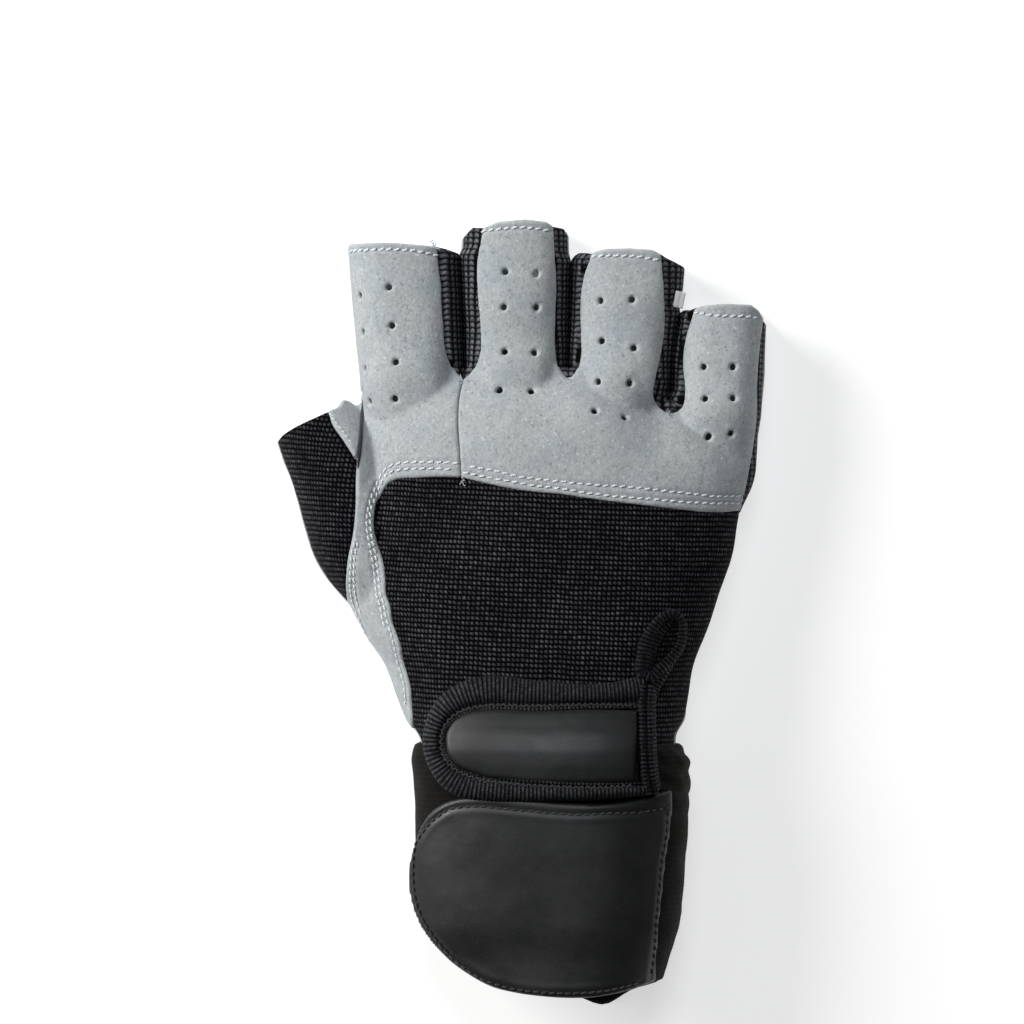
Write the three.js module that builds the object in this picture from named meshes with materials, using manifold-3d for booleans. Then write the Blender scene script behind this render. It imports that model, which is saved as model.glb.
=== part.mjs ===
// Fingerless weightlifting glove for a right hand, lying palm down.
// X runs from the thumb side to the little finger, Y from the wrist to the fingers, Z up from the palm.
// Every panel is a piece of a hollow form that is lofted through short tables of sections.
import * as THREE from 'three';
import { mergeVertices } from 'three/addons/utils/BufferGeometryUtils.js';
import Module from 'manifold-3d';

const wasm = await Module();
wasm.setup();

// Driving sizes, in millimetres
const palmWidth = 96;
const palmLength = 86.4;
const palmHeight = 31;
const wristWidth = 66;
const wristHeight = 35;
const wrapLength = 63.1;
const fingerHeight = 21;
const thumbHeight = 23;
const thumbWidth = 20;
const suede = 1.6;
const knit = 1.2;
const wrapWall = 2.4;
const flapWall = 1.8;
const tabWall = 1.6;
const patchWall = 1.4;
const bindingWall = 3.8;
const anchorWall = 3.4;
const loopCord = 2.9;
const gap = 0.3;
const seamHeight = 9;
const flapStandOff = 0.1;
const cuffLength = 14;
const perforation = 1.7;
const tagWidth = 3.6;
const tagWall = 1.0;
const tagHeight = 5;
const tagLevel = 0.62;
const loopRise = 0.8;
const wristSeamLift = 1.35;

// Fingers from the index to the little one. Breadth is at the web, as a share of the palm width, and
// reach from the web to the opening, as a share of the palm length. Lean is how far the opening lies to
// the right of the web and bow how far the middle of its edge stands out, both as shares of the palm
// width, and flare is how much wider the opening is.
const fingerTable = [
  { name: 'index', breadth: 0.2615, reach: 0.3611, lean: -0.0167, flare: 1.06, bow: 0.0052 },
  { name: 'middle', breadth: 0.2656, reach: 0.4109, lean: 0.001, flare: 1.075, bow: 0.024 },
  { name: 'ring', breadth: 0.2531, reach: 0.3414, lean: 0.0281, flare: 1.11, bow: 0.0135 },
  { name: 'little', breadth: 0.2219, reach: 0.2824, lean: 0.0125, flare: 1.04, bow: 0.0156 },
];
const fingers = fingerTable.map((row) => ({
  name: row.name,
  width: row.breadth * palmWidth,
  length: row.reach * palmLength,
  lean: row.lean * palmWidth,
  bow: row.bow * palmWidth,
  flare: row.flare,
}));
const legGap = 0.25;
const webStep = 1.4;

// Sections of the hand, along as a share of the palm length above the waist and of the wrap length
// below it. Left and right are shares of the palm width, or of the wrist width where wrist is 1.
// Top is a share of the palm height or wrist height, and lift is 1 where the wrap passes beneath.
const handSections = [
  { along: -1.06, wrist: 1, left: -0.22, right: 0.36, top: 0.97, lift: 1 },
  { along: -0.85, wrist: 1, left: -0.27, right: 0.40, top: 0.98, lift: 1 },
  { along: -0.70, wrist: 1, left: -0.345, right: 0.445, top: 1.0, lift: 1 },
  { along: -0.45, wrist: 1, left: -0.385, right: 0.465, top: 1.01, lift: 1 },
  { along: -0.15, wrist: 1, left: -0.395, right: 0.48, top: 1.0, lift: 1 },
  { along: 0.0, wrist: 1, left: -0.42, right: 0.47, top: 0.985, lift: 1 },
  { along: 0.045, wrist: 1, left: -0.46, right: 0.50, top: 0.97, lift: 0.7 },
  { along: 0.10, wrist: 0, left: -0.336, right: 0.355, top: 1.1, lift: 0.1 },
  { along: 0.20, wrist: 0, left: -0.368, right: 0.37, top: 1.11, lift: 0 },
  { along: 0.30, wrist: 0, left: -0.428, right: 0.407, top: 1.09, lift: 0 },
  { along: 0.40, wrist: 0, left: -0.462, right: 0.437, top: 1.07, lift: 0 },
  { along: 0.52, wrist: 0, left: -0.458, right: 0.475, top: 1.04, lift: 0 },
  { along: 0.64, wrist: 0, left: -0.446, right: 0.488, top: 1.01, lift: 0 },
  { along: 0.76, wrist: 0, left: -0.440, right: 0.517, top: 0.97, lift: 0 },
  { along: 0.86, wrist: 0, left: -0.434, right: 0.528, top: 0.91, lift: 0 },
  { along: 0.94, wrist: 0, left: -0.434, right: 0.53, top: 0.82, lift: 0 },
  { along: 1.0, wrist: 0, left: -0.42, right: 0.52, top: 0.66, lift: 0 },
];

// Where the webs lie across the palm, and how far each falls short of the palm length
const webLine = [
  { across: -0.45, short: 0.0 },
  { across: -0.193, short: 0.0 },
  { across: 0.07, short: 0.0 },
  { across: 0.325, short: 0.097 },
  { across: 0.55, short: 0.12 },
];

// Sections of a finger, along from its web to its opening, with its width and height as shares
const fingerSections = [
  { along: -0.45, width: 0.9, height: 1.0 },
  { along: 0.0, width: 0.99, height: 1.12 },
  { along: 0.3, width: 1.0, height: 1.05 },
  { along: 0.6, width: 1.01, height: 1.03 },
  { along: 1.0, width: 1.0, height: 0.96 },
];

// Sections of the thumb from its opening to its root: the end beside the palm as shares of the palm,
// breadth and height as shares of the thumb's, and the turn of the section in degrees
const thumbSections = [
  { palmEnd: [-0.482, 0.942], breadth: 1.0, turn: 32, height: 0.92 },
  { palmEnd: [-0.43, 0.89], breadth: 1.17, turn: 34, height: 1.0 },
  { palmEnd: [-0.388, 0.80], breadth: 1.23, turn: 31, height: 1.08 },
  { palmEnd: [-0.363, 0.66], breadth: 1.165, turn: 27, height: 1.12 },
  { palmEnd: [-0.35, 0.533], breadth: 0.985, turn: 22, height: 1.12 },
  { palmEnd: [-0.325, 0.408], breadth: 0.765, turn: 13, height: 1.05 },
];

// Plan outlines as shares of the palm width and length
const knitTop = [
  [0.9, 0.626], [0.5, 0.626], [0.403, 0.625], [0.23, 0.647], [0.05, 0.675], [-0.08, 0.692],
  [-0.193, 0.717], [-0.307, 0.719], [-0.36, 0.715], [-0.385, 0.698], [-0.403, 0.668], [-0.411, 0.625],
];
const stripInner = [
  [-0.409, 0.575], [-0.403, 0.536], [-0.391, 0.478], [-0.388, 0.428], [-0.373, 0.364], [-0.371, 0.319],
  [-0.355, 0.281], [-0.347, 0.228], [-0.333, 0.181], [-0.325, 0.139], [-0.327, 0.067], [-0.318, 0.017],
  [-0.295, -0.029],
];
const stripOuter = [
  [-0.487, 0.30], [-0.487, 0.433], [-0.485, 0.494], [-0.475, 0.528], [-0.463, 0.581], [-0.458, 0.714],
  [-0.451, 0.767], [-0.448, 0.817], [-0.444, 0.875], [-0.446, 0.938],
];
const gusset = [[-0.534, 0.903], [-0.46, 0.783], [-0.446, 0.875], [-0.446, 0.96], [-0.50, 0.97]];
const panelSeam = [
  [-0.193, 1.05], [-0.193, 1.0], [-0.203, 0.942], [-0.205, 0.864], [-0.201, 0.8], [-0.199, 0.66],
];
const sideStrip = [[0.495, 0.60], [0.508, 0.669], [0.525, 0.769], [0.536, 0.878], [0.538, 0.95]];

// Edges of each finger's grey back: along the finger, left and right as shares of half its width.
// A side of 2 wraps round the finger with no side wall.
const backEdges = [
  [
    { along: 0.03, left: -2, right: 0.92 }, { along: 0.1, left: -2, right: 0.83 },
    { along: 0.25, left: -2, right: 0.74 }, { along: 0.6, left: -2, right: 0.7 },
    { along: 1.2, left: -2, right: 0.7 },
  ],
  [
    { along: 0.03, left: -0.9, right: 0.92 }, { along: 0.08, left: -0.8, right: 0.84 },
    { along: 0.2, left: -0.69, right: 0.79 }, { along: 0.55, left: -0.71, right: 0.81 },
    { along: 0.8, left: -0.7, right: 0.79 }, { along: 1.2, left: -0.6, right: 0.7 },
  ],
  [
    { along: -0.26, left: -2, right: 0.78 }, { along: -0.2, left: -2, right: 0.69 },
    { along: -0.1, left: -2, right: 0.66 }, { along: 0.03, left: -0.9, right: 0.72 },
    { along: 0.1, left: -0.83, right: 0.76 }, { along: 0.35, left: -0.83, right: 0.78 },
    { along: 0.7, left: -0.8, right: 0.64 }, { along: 1.2, left: -0.68, right: 0.55 },
  ],
  [
    { along: 0.03, left: -0.86, right: 2 }, { along: 0.1, left: -0.8, right: 2 },
    { along: 0.2, left: -0.74, right: 2 }, { along: 0.5, left: -0.68, right: 2 },
    { along: 1.2, left: -0.5, right: 2 },
  ],
];

// Perforations of each finger's back: along and across, as shares of its length and half its width
const perforations = [
  [
    [0.69, -0.31], [0.39, -0.29], [0.12, -0.26], [-0.17, -0.31],
    [0.62, -0.87], [0.35, -0.86], [0.06, -0.87], [-0.19, -0.81],
  ],
  [
    [0.71, -0.22], [0.47, -0.24], [0.17, -0.23], [-0.09, -0.33],
    [0.70, 0.35], [0.47, 0.36], [0.16, 0.34], [-0.09, 0.28],
  ],
  [
    [0.62, -0.53], [0.29, -0.46], [-0.04, -0.48], [-0.27, -0.47],
    [0.63, 0.06], [0.24, 0.19], [-0.05, 0.18], [-0.33, 0.13],
  ],
  [[0.44, -0.38], [0.13, -0.32], [-0.25, -0.19], [0.44, 0.29], [0.14, 0.33], [-0.22, 0.33]],
];

// Outlines at the wrist: across as a share of the wrist width, along as a share of the wrap length
const wrapOutline = [
  [-0.9, -0.02], [0.9, -0.02], [0.9, -0.80], [0.422, -0.93], [0.327, -0.955], [0.276, -0.985],
  [0.247, -1.0], [0.12, -0.965], [-0.1, -0.93], [-0.26, -0.86], [-0.40, -0.72], [-0.9, -0.60],
];
const flapOutline = [
  [0.476, -0.205], [0.36, -0.228], [0.255, -0.24], [0.116, -0.24], [-0.022, -0.229], [-0.145, -0.219],
  [-0.233, -0.219], [-0.302, -0.226], [-0.349, -0.245], [-0.396, -0.282], [-0.44, -0.338], [-0.466, -0.41],
  [-0.482, -0.506], [-0.476, -0.586], [-0.456, -0.662], [-0.411, -0.742], [-0.342, -0.833], [-0.265, -0.89],
  [-0.175, -0.935], [-0.091, -0.956], [0.013, -0.97], [0.207, -0.973], [0.422, -0.92], [0.433, -0.707],
  [0.447, -0.563], [0.458, -0.452], [0.472, -0.346],
];
const tabOutline = [
  [0.350, 0.176], [0.284, 0.219], [0.116, 0.204], [-0.022, 0.209], [-0.196, 0.222], [-0.265, 0.215],
  [-0.335, 0.183], [-0.388, 0.133], [-0.418, 0.061], [-0.425, -0.019], [-0.408, -0.09], [-0.371, -0.15],
  [-0.313, -0.196], [-0.233, -0.207], [-0.091, -0.21], [0.047, -0.217], [0.185, -0.228], [0.350, -0.224],
];
const patchOutline = [
  [0.350, 0.11], [0.185, 0.113], [-0.022, 0.111], [-0.196, 0.112], [-0.265, 0.098], [-0.313, 0.068],
  [-0.338, 0.03], [-0.345, -0.019], [-0.335, -0.066], [-0.302, -0.104], [-0.233, -0.134], [-0.091, -0.155],
  [0.047, -0.163], [0.185, -0.165], [0.350, -0.163],
];
const anchorOutline = [
  [0.357, 0.15], [0.366, 0.205], [0.396, 0.21], [0.404, 0.15], [0.425, -0.19], [0.369, -0.20],
];
const loopRoute = [
  [0.366, 0.245], [0.364, 0.312], [0.382, 0.366], [0.420, 0.418], [0.465, 0.462], [0.500, 0.452],
  [0.514, 0.415], [0.508, 0.365], [0.478, 0.315], [0.434, 0.274], [0.400, 0.24],
];

// Shape of every section: how square its upper and lower halves are, and the level of its widest part
const upperSquareness = 2.35;
const lowerSquareness = 3.0;
const widestLevel = 0.44;
const flattening = 1.15;
const webSpread = 0.5;
const ringPoints = 30;
const fingerPoints = 16;
const punchSides = 6;
const loopSteps = 26;
const loopQuarter = 4;

// Looks of the materials
const suedeGrey = new THREE.MeshStandardMaterial({ color: 0x9ba0a3, roughness: 0.95, metalness: 0 });
const knitBlack = new THREE.MeshStandardMaterial({ color: 0x17181a, roughness: 0.9, metalness: 0 });
const ribBlack = new THREE.MeshStandardMaterial({ color: 0x121315, roughness: 0.85, metalness: 0 });
const rubberBlack = new THREE.MeshStandardMaterial({ color: 0x2b2c2e, roughness: 0.5, metalness: 0 });
const wrapBlack = new THREE.MeshStandardMaterial({ color: 0x231f1c, roughness: 0.92, metalness: 0 });
const tagWhite = new THREE.MeshStandardMaterial({ color: 0xc9ccd0, roughness: 0.7, metalness: 0 });

const mix = (a, b, t) => a + (b - a) * t;

// Placing by shares
function onPalm([across, along]) {
  return new THREE.Vector2(across * palmWidth, along * palmLength);
}
function onWrist([across, along]) {
  return new THREE.Vector2(across * wristWidth, along * wrapLength);
}
function alongHand(share) {
  return share < 0 ? share * wrapLength : share * palmLength;
}

// Web line: how far the hand's front edge falls back at a place across the palm
function webShort(across) {
  const last = webLine.length - 1;
  if (across <= webLine[0].across) return webLine[0].short;
  for (let i = 0; i < last; i += 1) {
    const a = webLine[i];
    const b = webLine[i + 1];
    if (across <= b.across) {
      return mix(a.short, b.short, THREE.MathUtils.smoothstep(across, a.across, b.across));
    }
  }
  return webLine[last].short;
}

const webLevel = (x) => (1 - webShort(x / palmWidth)) * palmLength;

// Closed solid through rings of the same even number of points. The ends close by strips from top to bottom
function loft(rings) {
  const count = rings[0].length;
  const places = [];
  const faces = [];
  rings.forEach((ring) => ring.forEach((p) => places.push(p.x, p.y, p.z)));
  for (let i = 0; i < rings.length - 1; i += 1) {
    for (let j = 0; j < count; j += 1) {
      const a = i * count + j;
      const b = i * count + ((j + 1) % count);
      faces.push(a, b, b + count, a, b + count, a + count);
    }
  }
  const last = (rings.length - 1) * count;
  for (let j = 0; j < count / 2 - 1; j += 1) {
    const facing = count - 1 - j;
    faces.push(facing, facing - 1, j + 1, facing, j + 1, j);
    faces.push(last + j, last + j + 1, last + facing - 1, last + j, last + facing - 1, last + facing);
  }
  const geometry = new THREE.BufferGeometry();
  geometry.setAttribute('position', new THREE.Float32BufferAttribute(places, 3));
  geometry.setIndex(faces);
  return geometry;
}

function solidOf(geometry) {
  const bare = geometry.clone();
  bare.deleteAttribute('normal');
  bare.deleteAttribute('uv');
  const merged = mergeVertices(bare, 1e-4);
  return new wasm.Manifold(new wasm.Mesh({
    numProp: 3,
    vertProperties: new Float32Array(merged.attributes.position.array),
    triVerts: new Uint32Array(merged.index.array),
  }));
}

function geometryOf(solid) {
  const mesh = solid.getMesh();
  const geometry = new THREE.BufferGeometry();
  geometry.setAttribute('position', new THREE.Float32BufferAttribute(mesh.vertProperties, 3));
  geometry.setIndex(Array.from(mesh.triVerts));
  geometry.computeVertexNormals();
  return geometry;
}

const unionOf = (solids) => solids.reduce((all, one) => all.add(one));
const without = (solid, cutters) => cutters.reduce((left, cutter) => left.subtract(cutter), solid);

// Section in the upright plane that holds the level direction side: rounded, and squarer where it rests
function ring(count, middle, side, halfLeft, halfRight, top, floor, widest) {
  const points = [];
  for (let j = 0; j < count; j += 1) {
    const angle = (2 * Math.PI * (j + 0.5)) / count;
    const c = Math.cos(angle);
    const s = Math.sin(angle);
    const power = s > 0 ? upperSquareness : lowerSquareness;
    const x = Math.sign(c) * Math.abs(c) ** (2 / power) * (c < 0 ? halfLeft : halfRight);
    const rise = Math.abs(s) ** (2 / power) * (s > 0 ? top - widest : (widest - floor) * flattening);
    const z = Math.max(widest + Math.sign(s) * rise, floor);
    points.push(new THREE.Vector3(middle.x + side.x * x, middle.y + side.y * x, z));
  }
  return points;
}

// Extent of the hand at one row of the table, grown by a wall
function handSection(row, wall) {
  const breadth = row.wrist * wristWidth + (1 - row.wrist) * palmWidth;
  const height = row.wrist * wristHeight + (1 - row.wrist) * palmHeight;
  const rise = row.lift * (wrapWall + gap);
  const top = suede + row.top * height + rise;
  return {
    y: alongHand(row.along),
    left: row.left * breadth - wall,
    right: row.right * breadth + wall,
    top: top + wall,
    floor: suede + rise - wall,
    widest: mix(suede + rise, top, widestLevel),
  };
}

// Closed solid of the hand without fingers. Widening moves its left side out, for straps that stand off
function handBody(wall, widening = 0, stack = () => 0) {
  const rings = handSections.map((row, i) => {
    const more = wall + stack(row);
    const at = handSection(row, more);
    const half = (at.right - at.left) / 2;
    const middle = new THREE.Vector2((at.left + at.right) / 2, at.y);
    const wide = half + widening;
    const points = ring(ringPoints, middle, { x: 1, y: 0 }, wide, half, at.top, at.floor, at.widest);
    const bend = THREE.MathUtils.smoothstep(row.along, webSpread, 1);
    points.forEach((p) => {
      p.y -= bend * webShort(p.x / palmWidth) * palmLength;
      if (i === handSections.length - 1) p.y += webStep + wall;
    });
    return points;
  });
  return solidOf(loft(rings.reverse()));
}

// Root and opening of each finger in plan
const knuckleWidth = fingers.reduce((sum, one) => sum + one.width, 0) + 3 * legGap;
let reached = -0.45 * palmWidth + (palmWidth - knuckleWidth) / 2;
fingers.forEach((one) => {
  one.across = reached + one.width / 2;
  reached += one.width + legGap;
  one.root = new THREE.Vector2(one.across, webLevel(one.across - one.width / 2));
});

// A place on a finger: along as a share of its length, across as a share of half its width
function onFinger(one, along, across) {
  const half = (one.width / 2) * mix(1, one.flare, Math.max(along, 0));
  return new THREE.Vector2(
    one.root.x + one.lean * along + across * half,
    one.root.y + one.length * along,
  );
}

function fingerForm(one, wall, reach) {
  const rings = fingerSections.map((row, i) => {
    const past = i === fingerSections.length - 1 ? reach : 0;
    const middle = onFinger(one, row.along, 0);
    const half = (one.width / 2) * mix(1, one.flare, Math.max(row.along, 0)) * row.width - suede + wall;
    const top = suede + fingerHeight * row.height;
    const widest = mix(suede, top, widestLevel);
    const points = ring(fingerPoints, middle, { x: 1, y: 0 }, half, half, top + wall, suede - wall, widest);
    points.forEach((p) => {
      if (row.along === 1) p.y += past + one.bow * (1 - ((p.x - middle.x) / half) ** 2);
    });
    return points;
  });
  return solidOf(loft(rings.reverse()));
}

function thumbForm(wall, reach) {
  const rings = thumbSections.map((row, i) => {
    const turn = THREE.MathUtils.degToRad(row.turn);
    const side = new THREE.Vector2(Math.cos(turn), Math.sin(turn));
    const middle = onPalm(row.palmEnd).addScaledVector(side, (-row.breadth * thumbWidth) / 2);
    const half = (row.breadth * thumbWidth) / 2 - suede + wall;
    const top = suede + thumbHeight * row.height;
    if (i === 0) middle.add(new THREE.Vector2(-side.y, side.x).multiplyScalar(reach));
    return ring(fingerPoints, middle, side, half, half, top + wall, suede - wall,
      mix(suede, top, widestLevel));
  });
  return solidOf(loft(rings));
}

// The whole hollow form, grown by a wall from the hand's own surface
function form(wall, reach = 0) {
  return unionOf([
    handBody(wall),
    ...fingers.map((one) => fingerForm(one, wall, reach)),
    thumbForm(wall, reach),
  ]);
}

// Upright prism over a plan outline
const highest = wristHeight * 2;
function prism(points, bottom = -highest, top = highest) {
  const shape = new THREE.Shape(points);
  const geometry = new THREE.ExtrudeGeometry(shape, { depth: top - bottom, bevelEnabled: false });
  geometry.translate(0, 0, bottom);
  return solidOf(geometry);
}

// Moves every edge of a closed plan outline out by a distance
function grown(points, distance) {
  const turned = THREE.ShapeUtils.isClockWise(points) ? -1 : 1;
  return points.map((p, i) => {
    const before = points[(i + points.length - 1) % points.length];
    const after = points[(i + 1) % points.length];
    const a = p.clone().sub(before).normalize();
    const b = after.clone().sub(p).normalize();
    const normal = new THREE.Vector2(a.y + b.y, -a.x - b.x).normalize();
    const spread = Math.max(normal.x * a.y - normal.y * a.x, 0.5);
    return p.clone().addScaledVector(normal, (turned * distance) / spread);
  });
}

// Places along a smooth closed curve through plan points
function smooth(points, steps) {
  const curve = new THREE.CatmullRomCurve3(points.map((p) => new THREE.Vector3(p.x, p.y, 0)), true);
  return curve.getPoints(steps).slice(0, -1);
}

// Plan regions of the panels
const far = 2 * palmWidth;
const knitRegion = [
  ...knitTop.map(onPalm), ...stripInner.map(onPalm),
  new THREE.Vector2(onPalm(stripInner.at(-1)).x, -far), new THREE.Vector2(far, -far),
];
const thumbRegion = [
  ...stripOuter.map(onPalm), new THREE.Vector2(onPalm(stripOuter.at(-1)).x, palmLength),
  new THREE.Vector2(-far, palmLength), new THREE.Vector2(-far, onPalm(stripOuter[0]).y),
];
const gussetRegion = gusset.map(onPalm);
const indexRegion = [
  ...panelSeam.map(onPalm), new THREE.Vector2(onPalm(panelSeam.at(-1)).x, -far),
  new THREE.Vector2(-far, -far), new THREE.Vector2(-far, far),
  new THREE.Vector2(onPalm(panelSeam[0]).x, far),
];
const sideRegion = [
  ...sideStrip.map(onPalm), new THREE.Vector2(onFinger(fingers[3], 1.2, 0.9).x, far),
  new THREE.Vector2(far, far), new THREE.Vector2(far, onPalm(sideStrip[0]).y),
];
const slotRegions = fingers.slice(0, -1).map((near, i) => {
  const next = fingers[i + 1];
  const crease = (near.across + near.width / 2 + next.across - next.width / 2) / 2;
  const tip = new THREE.Vector2(crease, webLevel(crease));
  const down = backEdges[i].map((row) => onFinger(near, row.along, row.right)).reverse();
  const up = backEdges[i + 1].map((row) => onFinger(next, row.along, row.left));
  return [...down.filter((p) => p.y > tip.y), tip, ...up.filter((p) => p.y > tip.y)];
});

// Level of the seam between the backs and the palm: it rises with the wrap beneath the cuff
const seamProfile = [
  ...handSections.map((row) => new THREE.Vector2(
    alongHand(row.along), handSection(row, 0).floor + seamHeight * mix(1, wristSeamLift, row.wrist),
  )),
  new THREE.Vector2(far, suede + seamHeight),
];
function beneathSeam(lower) {
  const first = seamProfile[0];
  const outline = [
    new THREE.Vector2(-far, -highest), new THREE.Vector2(far, -highest),
    ...seamProfile.map((p) => new THREE.Vector2(p.x, p.y - lower)).reverse(),
    new THREE.Vector2(-far, first.y - lower),
  ];
  const profile = new THREE.Shape(outline);
  const geometry = new THREE.ExtrudeGeometry(profile, { depth: 2 * far, bevelEnabled: false });
  geometry.rotateX(Math.PI / 2);
  geometry.rotateZ(Math.PI / 2);
  geometry.translate(-far, 0, 0);
  return solidOf(geometry);
}

// Walls of the glove
const reach = 6;
const hollow = form(0, reach);
const cuffEnd = prism([
  new THREE.Vector2(-far, -far), new THREE.Vector2(far, -far),
  new THREE.Vector2(far, -cuffLength), new THREE.Vector2(-far, -cuffLength),
]);
const suedeShell = form(suede).subtract(hollow).subtract(cuffEnd);
const knitShell = form(knit).subtract(hollow).subtract(cuffEnd);
const lowerHalf = beneathSeam(0);
const lowerHalfGrown = beneathSeam(-gap);

const nearBy = (region) => prism(grown(region, gap));
const notBacks = [
  lowerHalfGrown, nearBy(knitRegion), nearBy(thumbRegion), nearBy(gussetRegion), nearBy(sideRegion),
  ...slotRegions.map(nearBy),
];
const backs = without(suedeShell, notBacks);

// Perforations through the finger backs
const holes = fingers.flatMap((one, i) => perforations[i].map(([along, across]) => {
  const middle = onFinger(one, along, across);
  const punch = new THREE.CylinderGeometry(perforation / 2, perforation / 2, highest, punchSides);
  punch.rotateX(Math.PI / 2);
  punch.translate(middle.x, middle.y, highest / 2 + seamHeight);
  return solidOf(punch);
}));
const punched = without(backs, [unionOf(holes)]);

const group = new THREE.Group();
// Cuts leave crumbs of a few cubic millimetres beside a piece, and only the piece itself is kept
function addPiece(name, solid, material) {
  const [piece] = solid.decompose().sort((a, b) => b.volume() - a.volume());
  const mesh = new THREE.Mesh(geometryOf(piece), material);
  mesh.name = name;
  group.add(mesh);
}

addPiece('index_panel', punched.intersect(prism(indexRegion)), suedeGrey);
addPiece('finger_panel', punched.subtract(nearBy(indexRegion)), suedeGrey);
addPiece('palm_panel', suedeShell.intersect(lowerHalf), suedeGrey);
addPiece('back_panel', without(knitShell.intersect(prism(knitRegion)),
  [lowerHalfGrown, nearBy(sideRegion)]), knitBlack);
addPiece('side_strip', without(knitShell.intersect(prism(sideRegion)), [lowerHalfGrown]), ribBlack);
slotRegions.forEach((region, i) => {
  const walls = without(knitShell.intersect(prism(region)), [lowerHalfGrown]);
  addPiece(`fourchette_${fingers[i].name}_${fingers[i + 1].name}`, walls, ribBlack);
});
addPiece('thumb_gusset', without(suedeShell.intersect(prism(gussetRegion)), [lowerHalfGrown]), suedeGrey);
addPiece('thumb_back', without(knitShell.intersect(prism(thumbRegion)),
  [lowerHalfGrown, nearBy(gussetRegion)]), knitBlack);

// Wrist wrap round the cuff
const wrapInner = suede + gap;
const wrapOuter = wrapInner + wrapWall;
const wrapRegion = wrapOutline.map(onWrist);
const wrap = handBody(wrapOuter).subtract(handBody(wrapInner)).intersect(prism(wrapRegion));
addPiece('wrist_wrap', wrap, wrapBlack);

// Flap and strap lie on a form that is wider on the thumb side, because they stand off there
const standOff = flapStandOff * wristWidth;
const everywhere = [
  new THREE.Vector2(-far, -far), new THREE.Vector2(far, -far),
  new THREE.Vector2(far, far), new THREE.Vector2(-far, far),
];
const upperPart = prism(everywhere, wristHeight * widestLevel, highest);
const flapInner = wrapOuter + gap;
const flapRegion = flapOutline.map(onWrist);
const flap = handBody(flapInner + flapWall, standOff).subtract(handBody(flapInner, standOff))
  .intersect(prism(flapRegion)).intersect(upperPart);
addPiece('wrap_flap', flap, rubberBlack);

// Over the waist the strap climbs from the knit on to the wrap
const strapBase = knit + gap;
const strapClimb = (row) => row.lift * (wrapOuter - knit);
const strapLayer = (low, high) => handBody(high, standOff, strapClimb)
  .subtract(handBody(low, standOff, strapClimb)).intersect(upperPart).subtract(nearBy(flapRegion));
const tabRegion = tabOutline.map(onWrist);
const patchRegion = patchOutline.map(onWrist);
const anchorRegion = anchorOutline.map(onWrist);
const tabSheet = strapLayer(strapBase, strapBase + tabWall).intersect(prism(patchRegion));
addPiece('strap_tab', tabSheet, ribBlack);
const patchSheet = strapLayer(strapBase + tabWall + gap, strapBase + tabWall + gap + patchWall);
addPiece('strap_patch', patchSheet.intersect(prism(patchRegion)), rubberBlack);
const bindingSheet = strapLayer(strapBase, strapBase + bindingWall);
addPiece('strap_binding', bindingSheet.intersect(prism(tabRegion)).subtract(nearBy(patchRegion))
  .subtract(nearBy(anchorRegion)), ribBlack);
const anchorSheet = strapLayer(strapBase, strapBase + anchorWall);
addPiece('strap_anchor', anchorSheet.intersect(prism(anchorRegion)), ribBlack);

// Level of the back of the hand at a place in plan
function backLevel(x, y, wall, climb = () => 0) {
  const rows = handSections.map((row) => handSection(row, wall + climb(row)));
  const after = rows.findIndex((row) => row.y > y);
  const levels = [rows[after - 1], rows[after]].map((row) => {
    const aside = Math.min(Math.abs(2 * x - row.left - row.right) / (row.right - row.left), 1);
    return row.widest + (row.top - row.widest) * (1 - aside ** upperSquareness) ** (1 / upperSquareness);
  });
  return mix(levels[0], levels[1], (y - rows[after - 1].y) / (rows[after].y - rows[after - 1].y));
}

// Pull loop: a round ribbed cord bent into a closed eye, lying on the knit above the anchor
const loopRadius = loopCord / 2;
const loopClimb = (row) => row.lift * wrapWall;
const loopClear = gap + loopRadius + loopRise;
const loopPlaces = smooth(loopRoute.map(onWrist), loopSteps - 2).map((p) => (
  new THREE.Vector3(p.x, p.y, backLevel(p.x, p.y, knit, loopClimb) + loopClear)
));
const loopSection = new THREE.Shape();
loopSection.absarc(0, 0, loopRadius, 0, 2 * Math.PI);
const loopGeometry = new THREE.ExtrudeGeometry(loopSection, {
  steps: loopSteps,
  curveSegments: loopQuarter,
  bevelEnabled: false,
  extrudePath: new THREE.CatmullRomCurve3(loopPlaces, true),
});
addPiece('pull_loop', solidOf(loopGeometry), ribBlack);

// Size tag that stands out of the little finger's opening, against the ring finger's wall
const ringFinger = fingers[2];
const little = fingers[3];
const tagY = little.root.y + little.length + little.bow + gap;
const tagAlong = (tagY - ringFinger.root.y) / ringFinger.length;
const tagGeometry = new THREE.BoxGeometry(tagWall, tagWidth, tagHeight);
tagGeometry.translate(
  onFinger(ringFinger, tagAlong, 1.0).x + gap + tagWall, tagY + tagWidth / 2, suede + fingerHeight * tagLevel,
);
addPiece('seam_tag', solidOf(tagGeometry), tagWhite);

// The glove's origin is under the middle of its outline, on the surface that it lies on
const outline = new THREE.Box3().setFromObject(group);
const middleOfOutline = outline.getCenter(new THREE.Vector3());
group.position.set(-middleOfOutline.x, -middleOfOutline.y, -outline.min.z);

export default group;
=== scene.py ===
import math

import bpy
import numpy as np
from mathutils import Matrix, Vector
from mathutils.bvhtree import BVHTree
from mathutils.kdtree import KDTree


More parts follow.
